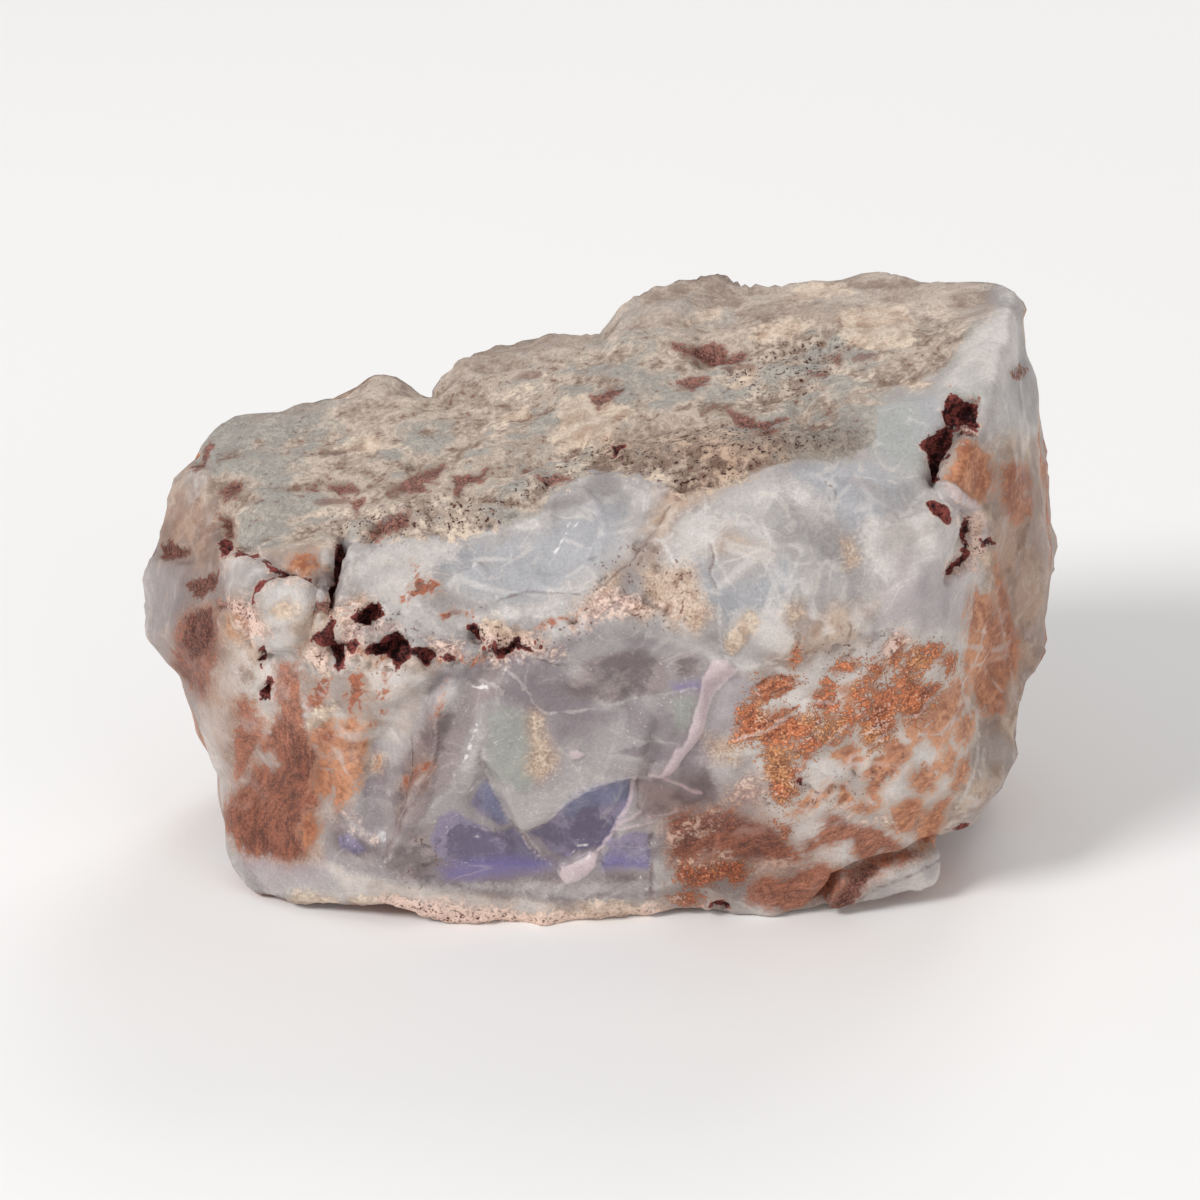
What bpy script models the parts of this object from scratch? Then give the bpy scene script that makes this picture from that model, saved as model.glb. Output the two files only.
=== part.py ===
"""A piece of rough opal: one broken block of opal under a weathered skin, lying on a flat spot.

The stone is cut out of planes, as a fracture leaves it, and scooped where shells broke away. Its
outline is then drawn out to the real one, and its face gets the ledges, crevices, ridges and pits.
The face is measured as it is seen from in front and a little above: "across" and "up" are
millimetres on a flat picture through the stone's middle.
"""

import math

import bmesh
import bpy
import numpy as np
from mathutils import Vector, noise

MM = 0.001

# Driving sizes, in millimetres and degrees
MIDDLE = np.array((0.0, 0.0, 11.0))
EYE_DISTANCE = 147.4
EYE_HEIGHT = 25.0
REACH = 36.0
EDGE_ROUNDING = 0.25
MASTER_SUBDIVISIONS = 7
MOST_TRIANGLES = 8800
FLAT_SPOT_LEVEL = -0.35
OUTLINE_ROUGHNESS = 0.14

# Fracture planes: a point on the plane, its heading (0 faces the front, 90 the right end, 180
# the back) and its tilt (90 faces up)
PLANES = {
    "weathered_top": ((0.0, 0.0, 20.0), -69.0, 78.0),
    "top_left_slope": ((-17.0, 3.5, 17.0), -72.0, 34.0),
    "upper_front_left": ((-4.0, -8.6, 17.0), -6.0, 45.0),
    "upper_front_right": ((9.0, -9.6, 18.0), 8.0, 27.0),
    "middle_front_right": ((9.0, -11.1, 13.5), 14.0, 9.0),
    "lower_front": ((0.0, -11.2, 13.5), 2.0, -11.0),
    "lower_front_left": ((-11.5, -8.9, 8.0), -30.0, -7.0),
    "lower_front_right": ((11.0, -9.6, 8.0), 22.0, -8.0),
    "left_corner": ((-16.6, -5.9, 12.0), -55.0, -4.0),
    "left_end_low": ((-18.6, 1.0, 6.0), -80.0, -16.0),
    "left_end": ((-20.3, 2.5, 11.5), -78.0, 12.0),
    "right_corner": ((15.9, -6.2, 15.0), 52.0, 4.0),
    "right_end_high": ((18.6, 4.0, 20.0), 80.0, 14.0),
    "right_end": ((20.0, 1.5, 13.0), 84.0, -3.0),
    "right_end_low": ((18.9, 0.5, 6.0), 76.0, -22.0),
    "right_back": ((15.5, 8.0, 12.0), 134.0, 6.0),
    "back_high": ((6.0, 11.4, 17.0), 176.0, 14.0),
    "back_low": ((0.0, 10.8, 6.0), 176.0, -16.0),
    "back_step": ((-6.0, 8.4, 14.0), 198.0, 6.0),
    "back_left": ((-15.0, 6.4, 11.0), 226.0, 4.0),
    "underside_front": ((0.0, -9.4, 0.5), 0.0, -62.0),
    "underside_left": ((-16.5, 0.0, 1.6), -90.0, -60.0),
    "underside_right": ((17.0, 0.0, 1.8), 88.0, -52.0),
    "underside_back": ((0.0, 8.6, 2.2), 180.0, -58.0),
    "underside_rising_left": ((-8.0, 0.0, -0.35), -80.0, -81.0),
    "underside_rising_right": ((9.5, 0.0, -0.35), 104.0, -80.0),
    "underside_rising_back": ((0.0, 3.6, -0.4), 172.0, -76.0),
    "underside": ((0.0, 0.0, -0.75), 20.0, -88.5),
}

# Shells broken out: a point on the surface, the heading and tilt that it faces, the scar's
# radius and its depth
SCOOPS = {
    "ledge_scar": ((-4.5, -8.6, 17.3), -8.0, 47.0, 5.8, 1.0),
    "pale_scar": ((7.0, -10.0, 16.6), 12.0, 30.0, 3.6, 0.35),
    "middle_scar": ((1.5, -10.9, 9.5), -4.0, -6.0, 6.0, 0.5),
    "left_scar": ((-10.0, -9.6, 7.0), -24.0, -6.0, 4.4, 0.55),
    "left_end_scar": ((-18.8, -1.0, 14.0), -70.0, 10.0, 4.0, 0.6),
    "right_end_scar": ((19.6, 2.5, 17.0), 82.0, 6.0, 5.0, 0.45),
    "right_low_scar": ((18.4, 1.5, 6.0), 80.0, -16.0, 3.6, 0.5),
    "back_left_scar": ((-9.0, 8.4, 12.0), 204.0, 8.0, 6.5, 1.3),
    "back_right_scar": ((9.5, 10.8, 9.0), 164.0, -6.0, 7.0, 1.3),
    "back_middle_scar": ((0.5, 10.8, 8.0), 186.0, -14.0, 6.0, 0.9),
    "back_low_scar": ((-9.0, 7.8, 3.5), 206.0, -20.0, 4.6, 0.8),
    "back_high_scar": ((6.0, 11.2, 18.0), 178.0, 18.0, 4.4, 0.7),
    "under_scar": ((4.0, 7.0, 0.6), 170.0, -70.0, 5.0, 0.6),
    "back_top_chip": ((1.0, 10.5, 19.0), 182.0, 40.0, 3.4, 0.9),
    "back_end_scar": ((16.2, 7.6, 15.0), 128.0, 10.0, 4.2, 0.6),
}

# The outline seen from in front: how far it stands from the middle of the picture every five
# degrees, from the right end over the top
OUTLINE = (
    19.7, 20.0, 20.3, 20.5, 20.7, 21.3, 21.8, 22.3, 22.0, 20.4, 19.1, 17.6,
    16.4, 15.6, 15.3, 14.7, 14.0, 13.1, 11.9, 11.7, 11.8, 11.8, 11.9, 12.0,
    12.1, 12.2, 12.4, 13.8, 14.6, 15.8, 17.2, 18.4, 18.8, 19.3, 19.6, 20.0,
    20.0, 19.9, 19.1, 18.7, 18.6, 18.7, 19.2, 19.6, 19.8, 18.9, 17.6, 16.6,
    16.1, 15.6, 15.1, 14.7, 14.7, 14.1, 13.9, 13.8, 13.9, 14.1, 14.6, 15.4,
    16.2, 17.0, 17.8, 18.5, 19.1, 18.7, 19.1, 19.3, 19.3, 19.1, 19.1, 19.4,
)

# Grooves (below zero) and ridges: height, half width and the line they follow, across and up
LINES = {
    "left_crevice": (-1.1, 0.5, ((-11.4, 2.6), (-11.5, 1.1), (-11.8, -0.3))),
    "left_crack": (-0.45, 0.35, ((-16.1, 2.1), (-14.8, 1.7), (-13.7, 1.2), (-12.6, 0.8))),
    "block_split": (-0.35, 0.3, ((-13.7, 1.0), (-15.0, 0.7), (-15.4, -0.5), (-15.4, -2.0))),
    "left_slit": (-0.5, 0.35, ((-16.4, 3.4), (-16.4, 2.2))),
    "left_notch": (-0.4, 0.5, ((-17.9, 6.3), (-16.1, 5.2))),
    "left_low_notch": (-0.35, 0.5, ((-19.8, 2.4), (-18.1, 1.9))),
    "right_crevice": (-1.2, 0.75, ((16.4, 9.0), (16.1, 7.6), (14.9, 6.5), (14.7, 5.3))),
    "right_crevice_tail": (-0.7, 0.4, ((16.1, 3.8), (16.1, 1.8), (15.5, 1.1))),
    "right_lip": (0.35, 0.45, ((14.4, 5.2), (15.1, 5.0), (16.7, 4.1), (16.9, 3.4), (16.4, 2.1))),
    "pink_ridge": (0.3, 0.5, ((5.5, -2.8), (4.5, -3.4), (4.3, -5.1), (3.1, -7.3), (2.4, -7.7))),
    "brown_edge": (0.22, 0.5, ((-6.3, -3.2), (-7.2, -4.9), (-7.3, -6.3), (-7.8, -8.0), (-8.5, -9.7),
                               (-9.4, -11.4))),
    "low_right_cut": (-0.8, 0.5, ((9.5, -13.8), (10.8, -12.7), (12.4, -11.9), (15.3, -11.1))),
    "ledge_lip": (0.35, 0.6, ((-11.0, 3.1), (-7.5, 3.3), (-2.7, 4.4), (2.2, 5.6))),
    "top_step": (-0.45, 0.9, ((-6.0, 5.0), (-3.4, 6.2), (-1.2, 7.0))),
}

# Pieces that stand proud (or lie deeper, below zero): height, width of the edge, and the
# corners, across and up
PLATES = {
    "middle_plate": (0.3, 0.4, ((-5.5, -5.7), (-5.0, -7.2), (-3.4, -10.3), (-2.3, -9.9), (-1.6, -9.0),
                                (-0.6, -8.3), (1.5, -7.8), (2.4, -5.3), (0.4, -3.1), (-3.5, -2.7),
                                (-5.3, -4.0))),
    "under_plate": (-0.45, 0.7, ((-5.2, -7.0), (-3.4, -10.3), (-1.6, -9.0), (-0.6, -8.3), (1.5, -7.8),
                                 (0.8, -10.0), (-0.1, -11.4), (-1.8, -11.9), (-3.8, -11.1),
                                 (-6.0, -8.8))),
    "brown_facet": (-0.45, 0.8, ((-6.6, -3.5), (-7.6, -5.1), (-8.0, -7.9), (-9.4, -10.9), (-10.8, -9.6),
                                 (-10.6, -6.5), (-8.8, -4.2), (-7.4, -3.2))),
    "left_blocks": (0.5, 0.5, ((-16.4, 2.0), (-14.8, 1.9), (-12.9, 0.6), (-12.9, -0.8), (-13.3, -1.8),
                               (-14.9, -2.2), (-16.3, -0.9))),
    "right_dome": (0.6, 1.6, ((12.2, -7.2), (15.0, -6.6), (17.2, -8.0), (16.6, -10.4), (13.0, -10.6))),
    "veined_dome": (0.35, 1.4, ((2.2, 2.2), (3.4, 4.6), (8.0, 5.6), (13.2, 5.0), (14.2, 0.0),
                                (9.0, -2.4), (4.6, -1.6))),
    "flake": (0.4, 0.4, ((10.2, -13.8), (10.8, -12.9), (12.4, -12.2), (15.4, -11.4), (15.0, -12.6),
                         (12.4, -13.5))),
}

# Pits: across, up, radius and depth
PITS = (
    (-10.1, -0.7, 0.75, 0.7), (-11.7, -2.1, 0.85, 0.8), (-9.4, -2.1, 0.9, 0.9), (-7.5, -2.4, 0.6, 0.6),
    (-5.3, -1.5, 0.6, 0.6), (-4.0, -2.0, 0.8, 0.8), (-1.0, -1.0, 0.45, 0.4), (-14.9, -2.4, 0.4, 0.5),
    (-14.7, -3.9, 0.5, 0.6), (-12.2, 1.1, 0.9, 0.7), (5.3, -13.5, 0.45, 0.4), (-8.2, 5.9, 0.6, 0.35),
    (-9.7, 3.2, 0.6, 0.4), (4.7, 10.9, 0.8, 0.4), (8.9, 8.2, 0.7, 0.35), (-7.7, 9.4, 0.5, 0.6),
)

# Knobs: a point, its radius and how far it stands out
KNOBS = (
    ((-10.0, 6.4, 19.0), 2.0, 0.8),
    ((-14.6, 3.0, 18.6), 2.6, 0.45),
    ((9.0, 5.0, 22.6), 4.2, 0.35),
    ((13.4, 8.6, 19.0), 3.0, 0.5),
    ((-4.0, 9.4, 5.0), 3.0, 0.6),
    ((18.6, 4.6, 12.0), 2.8, 0.4),
)


def facing(heading, tilt):
    """The unit vector that a face with this heading and tilt points along."""
    a, t = math.radians(heading), math.radians(tilt)
    return np.array((math.sin(a) * math.cos(t), -math.cos(a) * math.cos(t), math.sin(t)))


TO_EYE = facing(0.0, EYE_HEIGHT)
PICTURE_ACROSS = np.array((1.0, 0.0, 0.0))
PICTURE_UP = np.cross(TO_EYE, PICTURE_ACROSS)


def smooth_step(low, high, value):
    part = np.clip((value - low) / (high - low), 0.0, 1.0)
    return part * part * (3.0 - 2.0 * part)


def on_picture(points):
    """Where each point is seen on the flat picture: across and up."""
    arm = points - MIDDLE
    nearer = EYE_DISTANCE / (EYE_DISTANCE - arm @ TO_EYE)
    return np.stack((arm @ PICTURE_ACROSS, arm @ PICTURE_UP), axis=1) * nearer[:, None]


def distance_to_line(seen, corners, closed=False):
    corners = np.array(corners)
    ends = np.roll(corners, -1, axis=0) if closed else corners[1:]
    nearest = np.full(len(seen), 1e9)
    for start, end in zip(corners, ends):
        run = end - start
        part = np.clip((seen - start) @ run / (run @ run), 0.0, 1.0)
        gap = np.linalg.norm(seen - start - part[:, None] * run, axis=1)
        nearest = np.minimum(nearest, gap)
    return nearest


def depth_inside(seen, corners):
    """How far each seen point lies inside the outline; below zero it is outside."""
    corners = np.array(corners)
    odd = np.zeros(len(seen), dtype=bool)
    for (x0, y0), (x1, y1) in zip(corners, np.roll(corners, -1, axis=0)):
        spans = (y0 > seen[:, 1]) != (y1 > seen[:, 1])
        crossing = x0 + (seen[:, 1] - y0) * (x1 - x0) / ((y1 - y0) or 1e-9)
        odd ^= spans & (seen[:, 0] < crossing)
    gap = distance_to_line(seen, corners, closed=True)
    return np.where(odd, gap, -gap)


def noise_values(points, size, seed):
    """Smooth noise whose lumps are size across, between about -1 and 1, at each point."""
    offset = Vector((seed, seed * 0.7, -seed))
    return np.array([noise.noise(Vector(p) + offset) for p in points / np.array(size)])


def noise_moves(points, size, seed):
    lumps = (size, size, size)
    return np.stack([noise_values(points, lumps, seed + shift) for shift in (0.0, 31.3, 57.9)], axis=1)


def block_field(points):
    """How far each point is outside the block, in millimetres; below zero it is inside."""
    walls = [(points - np.array(spot)) @ facing(h, t) for spot, h, t in PLANES.values()]
    stacked = np.stack(walls) / EDGE_ROUNDING
    highest = stacked.max(axis=0)
    block = EDGE_ROUNDING * (highest + np.log(np.exp(stacked - highest).sum(axis=0)))
    for spot, heading, tilt, radius, depth in SCOOPS.values():
        ball = (radius**2 + depth**2) / (2 * depth)
        centre = np.array(spot) + facing(heading, tilt) * (ball - depth)
        block = np.maximum(block, ball - np.linalg.norm(points - centre, axis=1))
    return block


def fractured_block(directions):
    """The point on the block's surface along each direction from its middle."""
    near = np.zeros(len(directions))
    far = np.full(len(directions), REACH)
    for _ in range(26):
        half = (near + far) / 2
        outside = block_field(MIDDLE + directions * half[:, None]) > 0
        far = np.where(outside, half, far)
        near = np.where(outside, near, half)
    return MIDDLE + directions * near[:, None]


def drawn_to_outline(points):
    """The block moved square to the line of sight until its outline is the measured one."""
    seen = on_picture(points)
    reach = np.linalg.norm(seen, axis=1)
    turn = np.degrees(np.arctan2(seen[:, 1], seen[:, 0])) % 360
    count = len(OUTLINE)
    step = 360 / count
    sector = np.rint(turn / step).astype(int) % count
    rim = np.array([reach[sector == k].max() for k in range(count)])
    rim = (np.roll(rim, 1) + 2 * rim + np.roll(rim, -1)) / 4
    stretch = (np.array(OUTLINE) + OUTLINE_ROUGHNESS) / rim
    broad = sum(np.roll(stretch, k) for k in range(-3, 4)) / 7
    around = np.arange(count + 1) * step

    def at_turn(values):
        return np.interp(turn, around, np.append(values, values[0]))

    nearness = reach / at_turn(rim)
    change = at_turn(broad - 1) * smooth_step(0.3, 1.0, nearness)
    change += at_turn(stretch - broad) * smooth_step(0.78, 1.0, nearness)
    arm = points - MIDDLE
    along_sight = (arm @ TO_EYE)[:, None] * TO_EYE
    return MIDDLE + along_sight + (arm - along_sight) * (1 + change)[:, None]


def surface_relief(points, normals):
    """How far each point of the surface is moved out along its normal, in millimetres."""
    wander = noise_moves(points, 1.6, 5.3)[:, :2] * 0.35
    seen = on_picture(points) + wander
    in_view = smooth_step(0.08, 0.3, normals @ TO_EYE)
    upward = smooth_step(0.75, 0.95, normals[:, 2])

    face = np.zeros(len(points))
    for height, edge, corners in PLATES.values():
        face += height * smooth_step(-edge / 2, edge / 2, depth_inside(seen, corners))
    for height, half_width, corners in LINES.values():
        face += height * (1 - smooth_step(0.0, half_width, distance_to_line(seen, corners)))
    for across, up, radius, depth in PITS:
        gap = np.linalg.norm(seen - np.array((across, up)), axis=1)
        face -= depth * (1 - smooth_step(0.25 * radius, radius, gap))
    relief = face * in_view

    for spot, radius, height in KNOBS:
        gap = np.linalg.norm(points - np.array(spot), axis=1)
        relief += height * (1 - smooth_step(0.0, radius, gap))

    # The weathered top is streaked along the stone, and the broken sides are lumpier
    streaks = noise_values(points, (5.5, 1.7, 1.7), 2.2) - 0.5 * np.abs(
        noise_values(points, (3.0, 1.1, 1.1), 8.4))
    relief += 0.42 * streaks * upward
    lumps = noise_values(points, (3.4, 3.4, 2.4), 14.9) - 0.6 * np.abs(
        noise_values(points, (4.6, 4.6, 3.2), 27.1))
    relief += 0.3 * lumps * (1 - upward) * (1 - 0.7 * in_view)
    grains = noise_values(points, (1.1, 1.1, 1.1), 21.7)
    orange_side = smooth_step(1.0, 5.0, seen[:, 0]) * smooth_step(1.0, -3.0, seen[:, 1])
    relief += (0.07 + 0.12 * orange_side * in_view) * grains
    return relief


def face_normals(bm):
    bm.normal_update()
    return np.array([v.normal for v in bm.verts])


def place(bm, points):
    for vertex, point in zip(bm.verts, points):
        vertex.co = point


def stone_surface():
    """The stone's whole surface, in millimetres, with more triangles than it keeps."""
    bm = bmesh.new()
    bmesh.ops.create_icosphere(bm, subdivisions=MASTER_SUBDIVISIONS, radius=1.0)
    directions = np.array([v.co for v in bm.verts])
    directions /= np.linalg.norm(directions, axis=1)[:, None]
    points = fractured_block(directions)
    points += 0.55 * noise_moves(points, 7.5, 3.1) + 0.16 * noise_moves(points, 2.8, 11.7)
    points = drawn_to_outline(points)
    place(bm, points)
    normals = face_normals(bm)
    points += surface_relief(points, normals)[:, None] * normals
    place(bm, drawn_to_outline(points))
    return bm


def thinned(bm):
    """The same surface with no more triangles than the stone keeps."""
    mesh = bpy.data.meshes.new("stone_master")
    bm.to_mesh(mesh)
    triangles = len(bm.faces)
    bm.free()
    holder = bpy.data.objects.new("stone_master", mesh)
    bpy.context.scene.collection.objects.link(holder)
    fewer = holder.modifiers.new("fewer", "DECIMATE")
    fewer.ratio = MOST_TRIANGLES / triangles
    fewer.use_collapse_triangulate = True
    bpy.context.view_layer.update()
    graph = bpy.context.evaluated_depsgraph_get()
    kept = bmesh.new()
    kept.from_mesh(holder.evaluated_get(graph).to_mesh())
    bpy.data.objects.remove(holder, do_unlink=True)
    bpy.data.meshes.remove(mesh)
    return kept


def cut_flat_spot(bm):
    """The underside cut level, so the stone lies on a real flat."""
    parts = list(bm.verts) + list(bm.edges) + list(bm.faces)
    bmesh.ops.bisect_plane(bm, geom=parts, dist=1e-4, plane_co=(0, 0, FLAT_SPOT_LEVEL),
                           plane_no=(0, 0, 1), clear_inner=True)
    rim = [e for e in bm.edges if e.is_boundary]
    bmesh.ops.holes_fill(bm, edges=rim, sides=0)
    bmesh.ops.remove_doubles(bm, verts=list(bm.verts), dist=0.02)
    for vertex in bm.verts:
        if abs(vertex.co.z - FLAT_SPOT_LEVEL) < 0.02:
            vertex.co.z = FLAT_SPOT_LEVEL
    bmesh.ops.triangulate(bm, faces=list(bm.faces))
    bmesh.ops.recalc_face_normals(bm, faces=list(bm.faces))


def set_on_origin(bm):
    """The middle of the stone's box over the origin, and the flat spot at zero height."""
    corners = np.array([v.co for v in bm.verts])
    low, high = corners.min(axis=0), corners.max(axis=0)
    shift = Vector((-(low[0] + high[0]) / 2, -(low[1] + high[1]) / 2, -low[2]))
    bmesh.ops.translate(bm, vec=shift, verts=bm.verts)


def opal_material():
    material = bpy.data.materials.new("rough_opal")
    material.use_nodes = True
    surface = material.node_tree.nodes["Principled BSDF"]
    surface.inputs["Base Color"].default_value = (0.50, 0.42, 0.36, 1.0)
    surface.inputs["Roughness"].default_value = 0.62
    surface.inputs["Metallic"].default_value = 0.0
    return material


def main():
    for old in list(bpy.data.objects):
        bpy.data.objects.remove(old, do_unlink=True)
    bm = thinned(stone_surface())
    cut_flat_spot(bm)
    set_on_origin(bm)
    bmesh.ops.scale(bm, vec=(MM, MM, MM), verts=bm.verts)
    mesh = bpy.data.meshes.new("rough_opal")
    bm.to_mesh(mesh)
    bm.free()
    mesh.materials.append(opal_material())
    stone = bpy.data.objects.new("rough_opal", mesh)
    bpy.context.scene.collection.objects.link(stone)


main()
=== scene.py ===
"""The look of the rough opal, over the solid that the stone was packed as.

The stone's surface is made again from the same fracture planes, scars and outline as the solid,
fine enough for its pits, cracks and chips. Its colours are areas and lines outlined on the
photograph, and slow noise carries them round to the sides that it doesn't show.
"""

import math

import bmesh
import bpy
import numpy as np
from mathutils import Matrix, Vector, noise
from mathutils.kdtree import KDTree


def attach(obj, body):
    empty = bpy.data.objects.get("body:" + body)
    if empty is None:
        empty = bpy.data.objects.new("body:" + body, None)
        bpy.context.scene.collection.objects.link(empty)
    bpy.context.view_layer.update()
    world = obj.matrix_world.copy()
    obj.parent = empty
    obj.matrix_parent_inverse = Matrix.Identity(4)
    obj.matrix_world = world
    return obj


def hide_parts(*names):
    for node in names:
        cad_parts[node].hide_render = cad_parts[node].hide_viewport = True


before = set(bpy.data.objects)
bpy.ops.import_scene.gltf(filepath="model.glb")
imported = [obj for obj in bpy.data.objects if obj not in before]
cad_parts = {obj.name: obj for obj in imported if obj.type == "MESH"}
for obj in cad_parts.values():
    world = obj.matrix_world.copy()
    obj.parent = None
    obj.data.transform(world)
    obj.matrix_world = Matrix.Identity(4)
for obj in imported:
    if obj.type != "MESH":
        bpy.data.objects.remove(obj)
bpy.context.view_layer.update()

MM = 0.001
PHOTO_MIDDLE = 600
PIXELS_PER_MM = 22.61
FAR_OUTSIDE = -60.0

# The solid's own sizes, in millimetres and degrees
MIDDLE = np.array((0.0, 0.0, 11.0))
EYE_DISTANCE = 147.4
EYE_HEIGHT = 25.0
REACH = 36.0
EDGE_ROUNDING = 0.2
FLAT_SPOT_LEVEL = -0.35
OUTLINE_ROUGHNESS = 0.14
SETTLED = np.array((-0.0898, -0.3628, 0.35))
COARSE_SUBDIVISIONS = 7
HALVINGS = 26
FACING_THE_PHOTO = 0.33
DEEPEST_MARK = 2.5

# Lump sizes of the finish's noise, in millimetres
DUST, GRAIN, CRUMB, BAND = 0.1, 0.24, 0.9, 3.4
FIBRE = np.array((0.24, 0.4, 0.95))

# Small bowls and large ones that flaked off the broken faces, in millimetres across
SMALL_SCALLOP, LARGE_SCALLOP = 2.0, 5.0

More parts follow.
